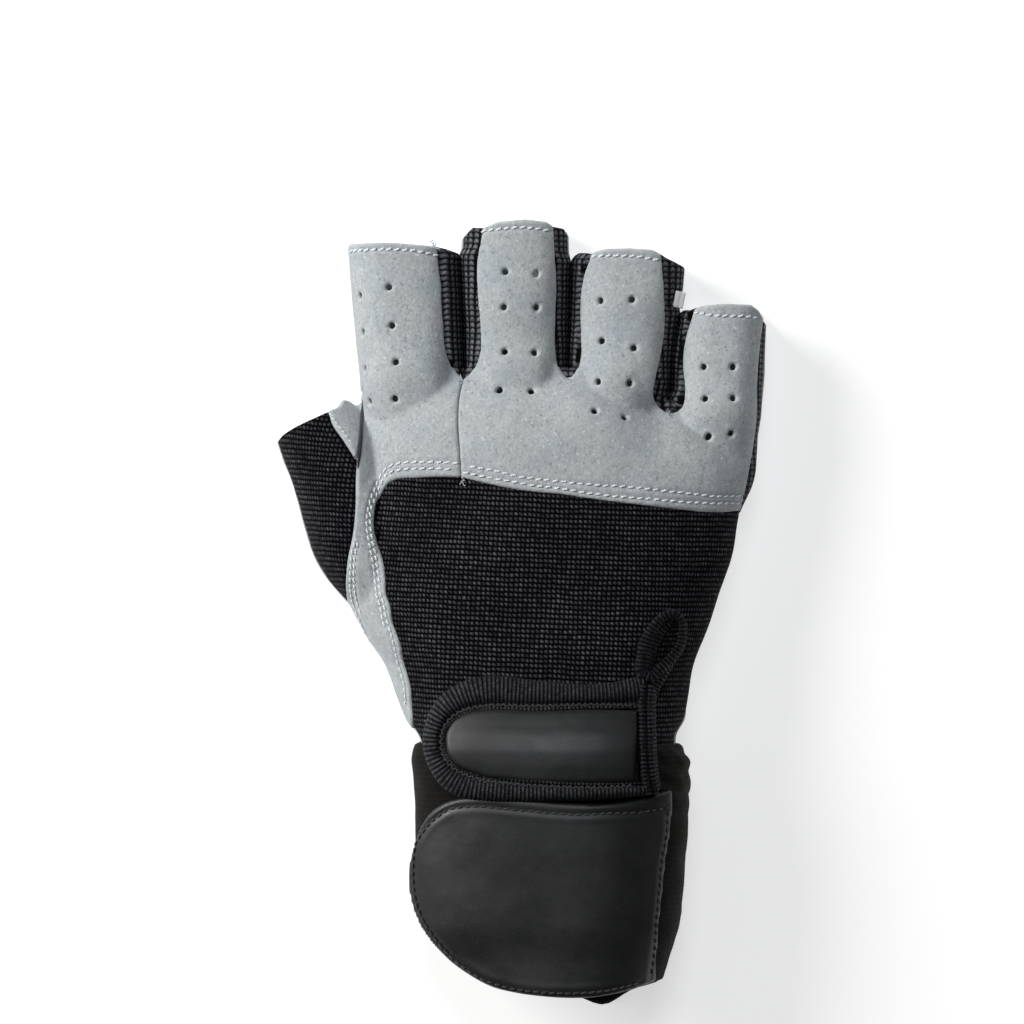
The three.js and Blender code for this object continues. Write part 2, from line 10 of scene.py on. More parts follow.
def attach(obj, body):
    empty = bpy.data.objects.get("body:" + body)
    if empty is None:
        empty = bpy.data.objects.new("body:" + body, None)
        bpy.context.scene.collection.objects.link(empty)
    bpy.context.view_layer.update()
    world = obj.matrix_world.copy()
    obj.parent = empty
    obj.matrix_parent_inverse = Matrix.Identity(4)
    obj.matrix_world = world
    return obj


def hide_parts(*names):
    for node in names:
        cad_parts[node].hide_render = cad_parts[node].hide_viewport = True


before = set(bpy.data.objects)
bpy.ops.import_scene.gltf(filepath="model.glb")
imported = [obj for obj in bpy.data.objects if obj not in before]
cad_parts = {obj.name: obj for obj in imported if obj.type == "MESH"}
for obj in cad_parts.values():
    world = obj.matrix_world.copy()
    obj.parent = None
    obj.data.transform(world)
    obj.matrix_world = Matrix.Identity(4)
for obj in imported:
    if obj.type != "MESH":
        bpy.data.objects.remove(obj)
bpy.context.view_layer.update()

# Everything below is made in millimetres of the part's own frame, and goes to metres with each object
PIXEL = 0.24


def at(px, py):
    """Place in plan of a pixel of the photograph."""
    return ((px - 522.57) * PIXEL, (610.0 - py) * PIXEL)


def trace(*pixels):
    return np.array([at(*p) for p in pixels])


# Camera: straight down, from far away
camera_data = bpy.data.cameras.new("camera")
camera = bpy.data.objects.new("camera", camera_data)
bpy.context.collection.objects.link(camera)
view_middle = at(512, 512)
camera_height = 2.5
camera.location = (view_middle[0] / 1000, view_middle[1] / 1000, camera_height)
camera_data.sensor_width = 36
camera_data.lens = 36 * (camera_height - 0.02) / (1024 * PIXEL / 1000)
camera_data.clip_end = 20
bpy.context.scene.camera = camera


# Lines and fields in plan

def spline(points, step=1.2, closed=False):
    """Even places along a smooth curve through points."""
    p = np.asarray(points, float)
    if closed:
        p = np.vstack([p, p[:1]])
    h = np.linalg.norm(np.diff(p, axis=0), axis=1)
    t = np.concatenate([[0], np.cumsum(h)])
    d = np.diff(p, axis=0) / h[:, None]
    m = np.empty_like(p)
    m[1:-1] = (d[:-1] * h[1:, None] + d[1:] * h[:-1, None]) / (h[:-1] + h[1:])[:, None]
    if closed:
        m[0] = m[-1] = (d[-1] * h[0] + d[0] * h[-1]) / (h[0] + h[-1])
    else:
        m[0], m[-1] = d[0], d[-1]
    fine = np.linspace(0, t[-1], int(t[-1] / (step * 0.25)) + 8)
    i = np.clip(np.searchsorted(t, fine, side="right") - 1, 0, len(h) - 1)
    s = ((fine - t[i]) / h[i])[:, None]
    hi = h[i][:, None]
    q = ((2 * s**3 - 3 * s**2 + 1) * p[i] + (s**3 - 2 * s**2 + s) * hi * m[i]
         + (-2 * s**3 + 3 * s**2) * p[i + 1] + (s**3 - s**2) * hi * m[i + 1])
    q = evened(q, step)
    return q[:-1] if closed else q


def run_along(line):
    """How far along a line each of its points lies."""
    return np.concatenate([[0], np.cumsum(np.linalg.norm(np.diff(line, axis=0), axis=1))])


def unit(rows):
    return rows / np.linalg.norm(rows, axis=1)[:, None]


def around(count, start=0.0):
    """Even angles once round."""
    return 2 * np.pi * (np.arange(count) + start) / count


def evened(points, step=None, count=None):
    """The same line with evenly spaced points."""
    run = run_along(points)
    if count is None:
        count = max(2, int(round(run[-1] / step)) + 1)
    places = np.linspace(0, run[-1], count)
    return np.stack([np.interp(places, run, points[:, k]) for k in range(points.shape[1])], axis=1)


def through(x, xs, ys):
    """Smooth values between the rows of a table, without overshoot."""
    x = np.clip(np.asarray(x, float), xs[0], xs[-1])
    xs, ys = np.asarray(xs, float), np.asarray(ys, float)
    h = np.diff(xs)
    d = np.diff(ys) / h
    m = np.zeros_like(ys)
    same = d[:-1] * d[1:] > 0
    w1, w2 = 2 * h[1:] + h[:-1], h[1:] + 2 * h[:-1]
    safe1, safe2 = np.where(same, d[:-1], 1), np.where(same, d[1:], 1)
    m[1:-1] = np.where(same, (w1 + w2) / (w1 / safe1 + w2 / safe2), 0)
    m[0], m[-1] = d[0], d[-1]
    i = np.clip(np.searchsorted(xs, x, side="right") - 1, 0, len(h) - 1)
    s = (x - xs[i]) / h[i]
    return ((2 * s**3 - 3 * s**2 + 1) * ys[i] + (s**3 - 2 * s**2 + s) * h[i] * m[i]
            + (-2 * s**3 + 3 * s**2) * ys[i + 1] + (s**3 - s**2) * h[i] * m[i + 1])


def step_between(x, low, high):
    t = np.clip((x - low) / (high - low), 0, 1)
    return t * t * (3 - 2 * t)


def to_line(p, line):
    """Distance of plan points from an open line."""
    a, ab = line[:-1], np.diff(line, axis=0)
    square = np.maximum((ab**2).sum(axis=1), 1e-12)
    best = np.empty(len(p))
    for start in range(0, len(p), 8000):
        q = p[start:start + 8000, None, :2] - a[None]
        t = np.clip((q * ab).sum(axis=2) / square, 0, 1)
        best[start:start + 8000] = ((q - t[..., None] * ab)**2).sum(axis=2).min(axis=1)
    return np.sqrt(best)


def within(p, outline):
    """Signed distance of plan points from a closed outline, above zero inside it."""
    a = outline
    b = np.roll(outline, -1, axis=0)
    inside = np.zeros(len(p), bool)
    for start in range(0, len(p), 8000):
        q = p[start:start + 8000]
        straddles = (a[None, :, 1] > q[:, None, 1]) != (b[None, :, 1] > q[:, None, 1])
        rise = b[:, 1] - a[:, 1]
        rise = np.where(rise == 0, 1e-12, rise)
        crossing = a[:, 0] + (q[:, None, 1] - a[:, 1]) * (b[:, 0] - a[:, 0]) / rise
        inside[start:start + 8000] = (straddles & (q[:, None, 0] < crossing)).sum(axis=1) % 2 == 1
    return np.where(inside, 1, -1) * to_line(p, np.vstack([outline, outline[:1]]))


def noise(p, size, seed):
    """Smooth seeded noise from -1 to 1, with bumps of about the given size."""
    lattice = np.random.RandomState(seed).rand(32, 32, 32) * 2 - 1
    q = p / size
    i = np.floor(q).astype(int)
    f = q - i
    f = f * f * (3 - 2 * f)
    total = np.zeros(len(p))
    for dx in (0, 1):
        for dy in (0, 1):
            for dz in (0, 1):
                weight = (f[:, 0] if dx else 1 - f[:, 0]) * (f[:, 1] if dy else 1 - f[:, 1])
                weight = weight * (f[:, 2] if dz else 1 - f[:, 2])
                total += weight * lattice[(i[:, 0] + dx) % 32, (i[:, 1] + dy) % 32, (i[:, 2] + dz) % 32]
    return total


# Sheets: triangles with fields on their points

class Sheet:
    def __init__(self, points, triangles, **data):
        self.p = points
        self.tri = triangles
        self.data = data

    def copy(self):
        return Sheet(self.p.copy(), self.tri.copy(), **{k: v.copy() for k, v in self.data.items()})


def faceted_normals(p, tri):
    cross = np.cross(p[tri[:, 1]] - p[tri[:, 0]], p[tri[:, 2]] - p[tri[:, 0]])
    n = np.zeros_like(p)
    for k in range(3):
        for axis in range(3):
            n[:, axis] += np.bincount(tri[:, k], weights=cross[:, axis], minlength=len(p))
    return n / np.maximum(np.linalg.norm(n, axis=1), 1e-12)[:, None]


def grid_sheet(points, wrap=False):
    """Sheet over rows of points."""
    rows, count = points.shape[:2]
    i = np.arange(rows - 1)[:, None] * count
    j = np.arange(count if wrap else count - 1)[None]
    k = (j + 1) % count
    a, b, c, d = i + j, i + k, i + count + k, i + count + j
    tri = np.concatenate([np.stack([a, b, c], -1).reshape(-1, 3), np.stack([a, c, d], -1).reshape(-1, 3)])
    return Sheet(points.reshape(-1, 3), tri)


def clipped(sheet, field):
    """Part of a sheet where a field is above zero, with new points exactly on its edge."""
    f = np.where(np.abs(field) < 1e-9, 1e-9, field)
    p = sheet.p.copy()
    data = {k: v.copy() for k, v in sheet.data.items()}
    tri = sheet.tri[(f[sheet.tri] > 0).any(axis=1)]
    for pull in (0.22, None):
        edges = np.sort(np.concatenate([tri[:, [0, 1]], tri[:, [1, 2]], tri[:, [2, 0]]]), axis=1)
        code = np.unique(edges[:, 0].astype(np.int64) * len(p) + edges[:, 1])
        a, b = code // len(p), code % len(p)
        crossing = ((f[a] > 0) & (f[b] < 0)) | ((f[a] < 0) & (f[b] > 0))
        a, b = a[crossing], b[crossing]
        t = f[a] / (f[a] - f[b])
        if pull:
            for end, other, near, share in ((a, b, t < pull, t), (b, a, t > 1 - pull, 1 - t)):
                e, o, s = end[near], other[near], share[near]
                e, first = np.unique(e, return_index=True)
                o, s = o[first], s[first]
                fresh = f[o] != 0
                e, o, s = e[fresh], o[fresh], s[fresh]
                p[e] += (p[o] - p[e]) * s[:, None]
                for k, v in data.items():
                    v[e] += (v[o] - v[e]) * (s[:, None] if v.ndim == 2 else s)
                f[e] = 0
    made = len(p) + np.arange(len(a))
    s = t[:, None]
    p = np.vstack([p, p[a] + (p[b] - p[a]) * s])
    for k, v in data.items():
        more = v[a] + (v[b] - v[a]) * (s if v.ndim == 2 else t)
        data[k] = np.concatenate([v, more])
    size = len(p)
    order = np.argsort(a * size + b)
    codes, made = (a * size + b)[order], made[order]

    def cut(x, y):
        """Point where the edge x to y leaves the field."""
        low, high = np.minimum(x, y), np.maximum(x, y)
        code = low * size + high
        place = np.clip(np.searchsorted(codes, code), 0, max(len(codes) - 1, 0))
        found = codes[place] == code if len(codes) else np.zeros(len(code), bool)
        on = np.where(f[x] == 0, x, y)
        return np.where(found, made[place] if len(codes) else on, on)

    keep = f[tri] >= 0
    some = (f[tri] > 0).any(axis=1)
    tri, keep = tri[some], keep[some]
    count = keep.sum(axis=1)
    out = [tri[count == 3]]
    one, k1 = tri[count == 1], keep[count == 1]
    if len(one):
        first = k1.argmax(axis=1)
        r = np.arange(len(one))
        x, y, z = one[r, first], one[r, (first + 1) % 3], one[r, (first + 2) % 3]
        out.append(np.stack([x, cut(x, y), cut(x, z)], axis=1))
    two, k2 = tri[count == 2], keep[count == 2]
    if len(two):
        gone = (~k2).argmax(axis=1)
        r = np.arange(len(two))
        z, x, y = two[r, gone], two[r, (gone + 1) % 3], two[r, (gone + 2) % 3]
        yz, zx = cut(y, z), cut(x, z)
        out.append(np.stack([x, y, yz], axis=1))
        out.append(np.stack([x, yz, zx], axis=1))
    tri = np.concatenate(out)
    tri = tri[(tri[:, 0] != tri[:, 1]) & (tri[:, 1] != tri[:, 2]) & (tri[:, 2] != tri[:, 0])]
    return tidied(Sheet(p, tri, **data))


def tidied(sheet, only=None):
    """A sheet without unused points."""
    tri = sheet.tri if only is None else sheet.tri[only]
    used, back = np.unique(tri, return_inverse=True)
    return Sheet(sheet.p[used], back.reshape(-1, 3), **{k: v[used] for k, v in sheet.data.items()})


def largest(sheet):
    """The largest connected part of a sheet."""
    label = np.arange(len(sheet.p))
    a = np.concatenate([sheet.tri[:, 0], sheet.tri[:, 1]])
    b = np.concatenate([sheet.tri[:, 1], sheet.tri[:, 2]])
    while True:
        before = label.copy()
        low = np.minimum(label[a], label[b])
        np.minimum.at(label, a, low)
        np.minimum.at(label, b, low)
        label = label[label]
        if (label == before).all():
            break
    counts = np.bincount(label[sheet.tri[:, 0]])
    return tidied(sheet, label[sheet.tri[:, 0]] == counts.argmax())


def border(sheet):
    """Edges of a sheet that belong to one triangle, in its direction."""
    tri = sheet.tri
    edges = np.concatenate([tri[:, [0, 1]], tri[:, [1, 2]], tri[:, [2, 0]]])
    code = np.sort(edges, axis=1)
    code = code[:, 0].astype(np.int64) * len(sheet.p) + code[:, 1]
    _, where, counts = np.unique(code, return_index=True, return_counts=True)
    return edges[where[counts == 1]]


def tree_of(points):
    tree = KDTree(len(points))
    for i, q in enumerate(points):
        tree.insert(q, i)
    tree.balance()
    return tree


def near(points, tree, limit):
    """Distance of points from the nearest one in a tree, up to a limit."""
    out = np.full(len(points), float(limit))
    for i, q in enumerate(points):
        hit = tree.find(q)
        if hit[2] is not None and hit[2] < limit:
            out[i] = hit[2]
    return out


def edge_distance(sheet, limit):
    edges = border(sheet)
    a, b = sheet.p[edges[:, 0]], sheet.p[edges[:, 1]]
    return near(sheet.p, tree_of(np.vstack([a + (b - a) * s for s in (0, 0.25, 0.5, 0.75)])), limit)


# Materials

class Wire:
    """A value inside a material's nodes, for plain arithmetic."""

    def __init__(self, tree, socket):
        self.tree, self.socket = tree, socket

    def op(self, kind, *others):
        node = self.tree.nodes.new("ShaderNodeMath")
        node.operation = kind
        self.tree.links.new(self.socket, node.inputs[0])
        for i, other in enumerate(others):
            if isinstance(other, Wire):
                self.tree.links.new(other.socket, node.inputs[i + 1])
            else:
                node.inputs[i + 1].default_value = other
        return Wire(self.tree, node.outputs[0])

    def __add__(self, other):
        return self.op("ADD", other)

    def __sub__(self, other):
        return self.op("SUBTRACT", other)

    def __mul__(self, other):
        return self.op("MULTIPLY", other)

    def frac(self):
        return self.op("FRACT")

    def floor(self):
        return self.op("FLOOR")

    def size(self):
        return self.op("ABSOLUTE")

    def power(self, other):
        return self.op("POWER", other)

    def most(self, other):
        return self.op("MAXIMUM", other)

    def centred(self):
        """Place within a cell, from -0.5 to 0.5."""
        return self.frac() - 0.5

    def hump(self, steep):
        """1 in the middle of a cell, and 0 at its sides."""
        return (self * self * -steep + 1.0).most(0.0)

    def between(self, low, high, to_low=0.0, to_high=1.0):
        node = self.tree.nodes.new("ShaderNodeMapRange")
        node.interpolation_type = "SMOOTHSTEP"
        self.tree.links.new(self.socket, node.inputs["Value"])
        for key, value in (("From Min", low), ("From Max", high), ("To Min", to_low), ("To Max", to_high)):
            node.inputs[key].default_value = value
        return Wire(self.tree, node.outputs["Result"])


class Look:
    """A node material in the making."""

    def __init__(self, name):
        self.material = bpy.data.materials.new(name)
        self.material.use_nodes = True
        self.tree = self.material.node_tree
        self.shader = self.tree.nodes["Principled BSDF"]
        coordinates = self.tree.nodes.new("ShaderNodeTexCoord")
        scaled = self.tree.nodes.new("ShaderNodeVectorMath")
        scaled.operation = "SCALE"
        scaled.inputs["Scale"].default_value = 1000
        self.link(coordinates.outputs["Object"], scaled.inputs[0])
        self.place = scaled.outputs[0]
        self.height = None

    def link(self, source, target):
        self.tree.links.new(source, target)

    def set(self, **values):
        for key, value in values.items():
            self.shader.inputs[key.replace("_", " ")].default_value = value

    def noise(self, size, detail=2.0, rough=0.5, seed=0.0, stretch=None):
        node = self.tree.nodes.new("ShaderNodeTexNoise")
        node.noise_dimensions = "4D"
        node.inputs["W"].default_value = seed
        node.inputs["Scale"].default_value = 1 / size
        node.inputs["Detail"].default_value = detail
        node.inputs["Roughness"].default_value = rough
        source = self.place
        if stretch:
            pulled = self.tree.nodes.new("ShaderNodeVectorMath")
            pulled.operation = "MULTIPLY"
            pulled.inputs[1].default_value = stretch
            self.link(source, pulled.inputs[0])
            source = pulled.outputs[0]
        self.link(source, node.inputs["Vector"])
        return Wire(self.tree, node.outputs["Fac"])

    def weave(self):
        """The two coordinates of the weave, in millimetres."""
        node = self.tree.nodes.new("ShaderNodeUVMap")
        node.uv_map = "weave"
        parts = self.tree.nodes.new("ShaderNodeSeparateXYZ")
        self.link(node.outputs["UV"], parts.inputs[0])
        return Wire(self.tree, parts.outputs[0]), Wire(self.tree, parts.outputs[1])

    def cell(self, a, b):
        """A value of its own for each cell of the weave."""
        both = self.tree.nodes.new("ShaderNodeCombineXYZ")
        self.link(a.socket, both.inputs[0])
        self.link(b.socket, both.inputs[1])
        node = self.tree.nodes.new("ShaderNodeTexWhiteNoise")
        node.noise_dimensions = "2D"
        self.link(both.outputs[0], node.inputs["Vector"])
        return Wire(self.tree, node.outputs["Value"])

    def edge(self):
        """Distance from the piece's edge, in millimetres."""
        node = self.tree.nodes.new("ShaderNodeAttribute")
        node.attribute_name = "edge"
        return Wire(self.tree, node.outputs["Fac"])

    def mixed(self, share, a, b):
        node = self.tree.nodes.new("ShaderNodeMix")
        node.data_type = "RGBA"
        self.link(share.socket, node.inputs[0])
        for socket, value in ((node.inputs[6], a), (node.inputs[7], b)):
            if isinstance(value, tuple):
                socket.default_value = (*value, 1)
            else:
                self.link(value, socket)
        return node.outputs[2]

    def colour(self, socket):
        self.link(socket, self.shader.inputs["Base Color"])

    def rough(self, wire):
        self.link(wire.socket, self.shader.inputs["Roughness"])

    def bump(self, wire, depth, strength=1.0):
        """Depth in millimetres of a pattern that runs from 0 to 1."""
        node = self.tree.nodes.new("ShaderNodeBump")
        node.inputs["Strength"].default_value = strength
        node.inputs["Distance"].default_value = depth / 1000
        self.link(wire.socket, node.inputs["Height"])
        if self.height:
            self.link(self.height, node.inputs["Normal"])
        self.height = node.outputs["Normal"]
        self.link(self.height, self.shader.inputs["Normal"])


def tinted(colour, *shares):
    """A colour with each of its parts, or all of them, times a share."""
    return tuple(c * s for c, s in zip(colour, shares * 3 if len(shares) == 1 else shares))


def suede_look(name, light, dark, deep):
    look = Look(name)
    look.set(Specular_IOR_Level=0.15, Sheen_Weight=0.35, Sheen_Roughness=0.45,
             Sheen_Tint=(0.85, 0.9, 0.95, 1))
    nap = look.noise(0.62, 4, 0.75, 1)
    clump = look.noise(1.7, 4, 0.7, 2)
    patch = look.noise(13, 3, 0.6, 3)
    blue = look.noise(9, 3, 0.6, 9)
    fibres = look.noise(0.55, 3, 0.8, 4, (1.0, 0.5, 0.6))
    tone = nap * 0.5 + clump * 0.3 + patch * 0.1 + fibres * 0.3
    ground = look.mixed(tone.between(0.44, 0.76), dark, light)
    cool = look.mixed(blue.between(0.5, 0.7, 0.0, 0.4), ground, tinted(dark, 0.95, 1.05, 1.16))
    fleck = look.noise(0.75, 2, 0.6, 5).between(0.585, 0.68, 0.0, 0.8)
    flecked = look.mixed(fleck, cool, deep)
    bright = look.noise(0.7, 2, 0.6, 6).between(0.6, 0.7, 0.0, 0.75)
    shone = look.mixed(bright, flecked, tinted(light, 1.28))
    # the suede turns lighter within 0.9 mm of each piece's edge
    paler = look.edge().between(0.0, 0.9, 0.35, 0.0)
    look.colour(look.mixed(paler, shone, tinted(light, 1.12, 1.12, 1.1)))
    look.rough(nap.between(0.3, 0.7, 0.86, 1.0))
    look.bump(clump, 0.16)
    look.bump(nap * 0.6 + fibres * 0.4, 0.22)
    return look.material


def knit_look(name, dark, glint, row=1.2, grain=1.12, slant=0.42, depth=0.36):
    look = Look(name)
    look.set(Specular_IOR_Level=0.05, Sheen_Weight=0.01, Sheen_Roughness=0.4)
    u, v = look.weave()
    sway = look.noise(7, 2, 0.5, 11) * 0.7
    jitter = look.noise(1.5, 2, 0.6, 12)
    rows = (v + sway) * (1 / row) + jitter * 0.3
    b = rows.centred()
    along = (u + sway) * (1 / grain) + b * slant + jitter * 0.22
    a = along.centred()
    round_a, round_b = a.hump(4.2), b.hump(5.2)
    body = round_a.power(0.8) * round_b.power(0.8)
    own = look.cell(along.floor(), rows.floor())
    uneven = look.noise(1.15, 2, 0.7, 13).between(0.3, 0.72, 0.3, 1.0) * (own * 0.6 + 0.48)
    shine = body.between(0.25, 0.95) * uneven
    patch = look.noise(18, 2, 0.5, 14).between(0.35, 0.7, 0.65, 1.0)
    look.colour(look.mixed(shine * patch, dark, glint))
    look.rough(shine.between(0.0, 1.0, 0.92, 0.62))
    look.bump(body * (uneven * 0.4 + 0.6), depth)
    fibre = look.noise(0.28, 2, 0.7, 15, (1.0, 0.5, 1.0))
    look.bump(fibre, 0.05)
    return look.material


def braid_look(name, dark, glint, column=2.9, link=1.35, depth=0.7):
    """Columns of small chained links."""
    look = Look(name)
    look.set(Specular_IOR_Level=0.1, Sheen_Weight=0.02)
    u, v = look.weave()
    jitter = look.noise(2.0, 2, 0.6, 21) * 0.3
    a = (u * (1 / column) + jitter * 0.4).centred()
    b = (v * (1 / link) + a.size() * 0.5 + jitter).centred()
    ridge, knot = a.hump(4.4), b.hump(4.2)
    body = ridge.power(0.7) * (knot.power(0.7) * 0.75 + 0.25)
    uneven = look.noise(1.0, 2, 0.7, 22).between(0.3, 0.7, 0.35, 1.0)
    shine = body.between(0.3, 1.0) * uneven
    look.colour(look.mixed(shine, dark, glint))
    look.rough(shine.between(0.0, 1.0, 0.9, 0.6))
    look.bump(body, depth)
    return look.material


def elastic_look(name, dark, glint, rib=0.95, depth=0.12):
    """Ribs across the run of the tape, with a fine thread in each."""
    look = Look(name)
    look.set(Specular_IOR_Level=0.1, Sheen_Weight=0.02, Sheen_Roughness=0.4)
    u, v = look.weave()
    a = (u * (1 / rib)).centred()
    ridge = a.hump(4.0)
    thread = (v * 1.9 + a * 1.2).centred().hump(4.0)
    uneven = look.noise(0.9, 2, 0.7, 31).between(0.3, 0.7, 0.25, 1.0)
    shine = ridge.between(0.35, 1.0) * (thread * 0.5 + 0.5) * uneven
    look.colour(look.mixed(shine, dark, glint))
    look.rough(shine.between(0.0, 1.0, 0.9, 0.55))
    look.bump(thread * 0.4 + ridge * 0.6, depth)
    return look.material


def rubber_look(name, ground, paler, gloss=0.6):
    look = Look(name)
    look.set(Specular_IOR_Level=gloss)
    smear = look.noise(11, 3, 0.6, 41)
    fine = look.noise(0.35, 3, 0.7, 42)
    dust = look.noise(0.9, 2, 0.7, 43).between(0.68, 0.76, 0.0, 0.35)
    toned = look.mixed(smear.between(0.35, 0.7), ground, paler)
    dusty = look.mixed(dust, toned, tinted(paler, 2.2))
    # painted shade: the rubber turns darker towards each piece's edge, where its rim rolls down
    edge_shade = look.edge().between(0.0, 0.8, 0.6, 0.0)
    look.colour(look.mixed(edge_shade, dusty, tinted(ground, 0.6)))
    look.rough((smear * 0.5 + fine * 0.5).between(0.35, 0.65, 0.40, 0.56))
    look.bump(fine, 0.02)
    look.bump(look.noise(6, 2, 0.5, 44), 0.12)
    return look.material


def velvet_look(name, dark, glint):
    look = Look(name)
    look.set(Specular_IOR_Level=0.12, Sheen_Weight=0.07, Sheen_Roughness=0.4, Sheen_Tint=(0.7, 0.62, 0.55, 1))
    u, v = look.weave()
    pile = look.noise(0.5, 4, 0.75, 51)
    ridge = (v * (1 / 1.3)).centred().hump(4.0)
    lint = look.noise(0.7, 2, 0.6, 52).between(0.66, 0.74, 0.0, 0.6)
    toned = look.mixed((pile * 0.88 + ridge * 0.12).between(0.4, 0.75), dark, glint)
    look.colour(look.mixed(lint, toned, tinted(glint, 2.2, 2.1, 2.0)))
    look.rough(pile.between(0.3, 0.7, 0.85, 1.0))
    look.bump(pile * 0.85 + ridge * 0.15, 0.25)
    return look.material


def thread_look(name, ground, shade):
    look = Look(name)
    look.set(Specular_IOR_Level=0.4, Sheen_Weight=0.2)
    u, v = look.weave()
    ply = (u * 2.6 + v * 1.0).centred().hump(4.0)
    spot = look.noise(1.3, 2, 0.6, 61)
    toned = look.mixed((ply * 0.6 + spot * 0.5).between(0.2, 0.7), shade, ground)
    # painted shade: each stitch darkens towards its ends, where it sinks into its hole
    hole_shade = u.size().between(0.55, 0.82, 0.0, 0.85)
    look.colour(look.mixed(hole_shade, toned, tinted(shade, 0.2)))
    look.rough(spot.between(0.3, 0.7, 0.55, 0.8))
    look.bump(ply, 0.07)
    return look.material


looks = {
    "suede": suede_look("napped_suede", (0.455, 0.478, 0.485), (0.30, 0.322, 0.333), (0.22, 0.238, 0.25)),
    "knit": knit_look("grain_knit", (0.0007, 0.0007, 0.001), (0.112, 0.113, 0.128)),
    "braid": braid_look("braided_rib", (0.0008, 0.0008, 0.0011), (0.17, 0.176, 0.2)),
    "elastic": elastic_look("ribbed_elastic", (0.0007, 0.0007, 0.0009), (0.06, 0.062, 0.069)),
    "loop": elastic_look("ribbed_cord", (0.0006, 0.0006, 0.0008), (0.036, 0.038, 0.043)),
    "patch": rubber_look("moulded_rubber", (0.0022, 0.0026, 0.0031), (0.003, 0.0034, 0.004), 0.55),
    "rubber": rubber_look("satin_rubber", (0.003, 0.0034, 0.0039), (0.004, 0.0044, 0.005)),
    "velvet": velvet_look("brushed_elastic", (0.0012, 0.0011, 0.001), (0.010, 0.0088, 0.0078)),
    "white_thread": thread_look("white_thread", (0.82, 0.85, 0.88), (0.36, 0.40, 0.44)),
    "dim_thread": thread_look("dim_thread", (0.026, 0.026, 0.028), (0.004, 0.004, 0.005)),
    # painted shade: the dark cord along the thumb's fold stands for the shade in its crease
    "welt": thread_look("painted_fold_shade", (0.035, 0.035, 0.07), (0.012, 0.012, 0.03)),
    "tag": thread_look("woven_tag", (0.86, 0.88, 0.90), (0.66, 0.68, 0.70)),
}


# Making objects

def make_object(name, points, faces, look, slot, node=None, uv=None, edge=None):
    mesh = bpy.data.meshes.new(name)
    mesh.from_pydata((np.asarray(points) / 1000).tolist(), [], [list(map(int, f)) for f in faces])
    mesh.update()
    mesh.polygons.foreach_set("use_smooth", np.ones(len(mesh.polygons), bool))
    if uv is not None:
        layer = mesh.uv_layers.new(name="weave")
        corner = np.empty(len(mesh.loops), np.int32)
        mesh.loops.foreach_get("vertex_index", corner)
        layer.data.foreach_set("uv", np.asarray(uv, np.float32)[corner].ravel())
    if edge is not None:
        layer = mesh.attributes.new("edge", "FLOAT", "POINT")
        layer.data.foreach_set("value", np.asarray(edge, np.float32))
    mesh.materials.append(looks[look])
    obj = bpy.data.objects.new(name, mesh)
    bpy.context.collection.objects.link(obj)
    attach(obj, "root")
    if node:
        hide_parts(*([node] if isinstance(node, str) else node))
    return obj


def thick(sheet, outer, inner):
    """Closed faces between two layers of a sheet."""
    n = len(sheet.p)
    rim = border(sheet)
    faces = [*sheet.tri.tolist(), *(sheet.tri[:, ::-1] + n).tolist()]
    faces += [[b, a, a + n, b + n] for a, b in rim.tolist()]
    return np.vstack([outer, inner]), faces


def panel(name, node, slot, look, sheet, wall, drop=0.0, rim=0.8, rim_drop=0.6, relief=None, puff=0.0,
          press=()):
    """A thick panel with a rolled rim, on a sheet that holds its normals and weave."""
    e = edge_distance(sheet, 6.0)
    roll = 1 - np.clip(e / rim, 0, 1)
    height = -drop - rim_drop * (1 - np.sqrt(np.maximum(1 - roll**2, 0))) + puff * step_between(e, 0, 5.5)
    if relief is not None:
        height = height + relief(sheet, e)
    normal = sheet.data["n"] / np.maximum(np.linalg.norm(sheet.data["n"], axis=1), 1e-9)[:, None]
    outer = sheet.p + normal * height[:, None]
    for i in press:
        outer = pressed(outer, normal, i)
    inner = sheet.p - normal * (drop + wall)
    points, faces = thick(sheet, outer, inner)
    uv = np.tile(np.stack([sheet.data["u"], sheet.data["v"]], axis=1), (2, 1))
    obj = make_object(name, points, faces, look, slot, node, uv, np.tile(e, 2))
    surface = BVHTree.FromPolygons([Vector(q) for q in outer], sheet.tri.tolist())
    return obj, surface


# The hand's hollow form, through the same tables as the construction

SHIFT = np.array([4.183, -30.479])
PALM_WIDTH, PALM_LENGTH, PALM_HEIGHT = 96.0, 86.4, 31.0
WRIST_WIDTH, WRIST_HEIGHT, WRAP_LENGTH = 66.0, 35.0, 63.1
FINGER_HEIGHT, THUMB_HEIGHT, THUMB_WIDTH = 21.0, 23.0, 20.0
SUEDE, KNIT, WRAP_WALL, GAP = 1.6, 1.2, 2.4, 0.3
SEAM = 10.6
UPPER, LOWER, WIDEST, FLAT = 2.35, 3.0, 0.44, 1.15

# along, wrist, left, right, top, lift
hand_rows = np.array([
    (-1.06, 1, -0.22, 0.36, 0.97, 1), (-0.85, 1, -0.27, 0.40, 0.98, 1), (-0.70, 1, -0.345, 0.445, 1.0, 1),
    (-0.45, 1, -0.385, 0.465, 1.01, 1), (-0.15, 1, -0.395, 0.48, 1.0, 1), (0.0, 1, -0.42, 0.47, 0.985, 1),
    (0.045, 1, -0.46, 0.50, 0.97, 0.7), (0.10, 0, -0.336, 0.355, 1.1, 0.1), (0.20, 0, -0.368, 0.37, 1.11, 0),
    (0.30, 0, -0.428, 0.407, 1.09, 0), (0.40, 0, -0.462, 0.437, 1.07, 0), (0.52, 0, -0.458, 0.475, 1.04, 0),
    (0.64, 0, -0.446, 0.488, 1.01, 0), (0.76, 0, -0.440, 0.517, 0.97, 0), (0.86, 0, -0.434, 0.528, 0.91, 0),
    (0.94, 0, -0.434, 0.53, 0.82, 0), (1.0, 0, -0.42, 0.52, 0.66, 0),
])
web_line = np.array([(-0.45, 0), (-0.193, 0), (0.07, 0), (0.325, 0.097), (0.55, 0.12)])
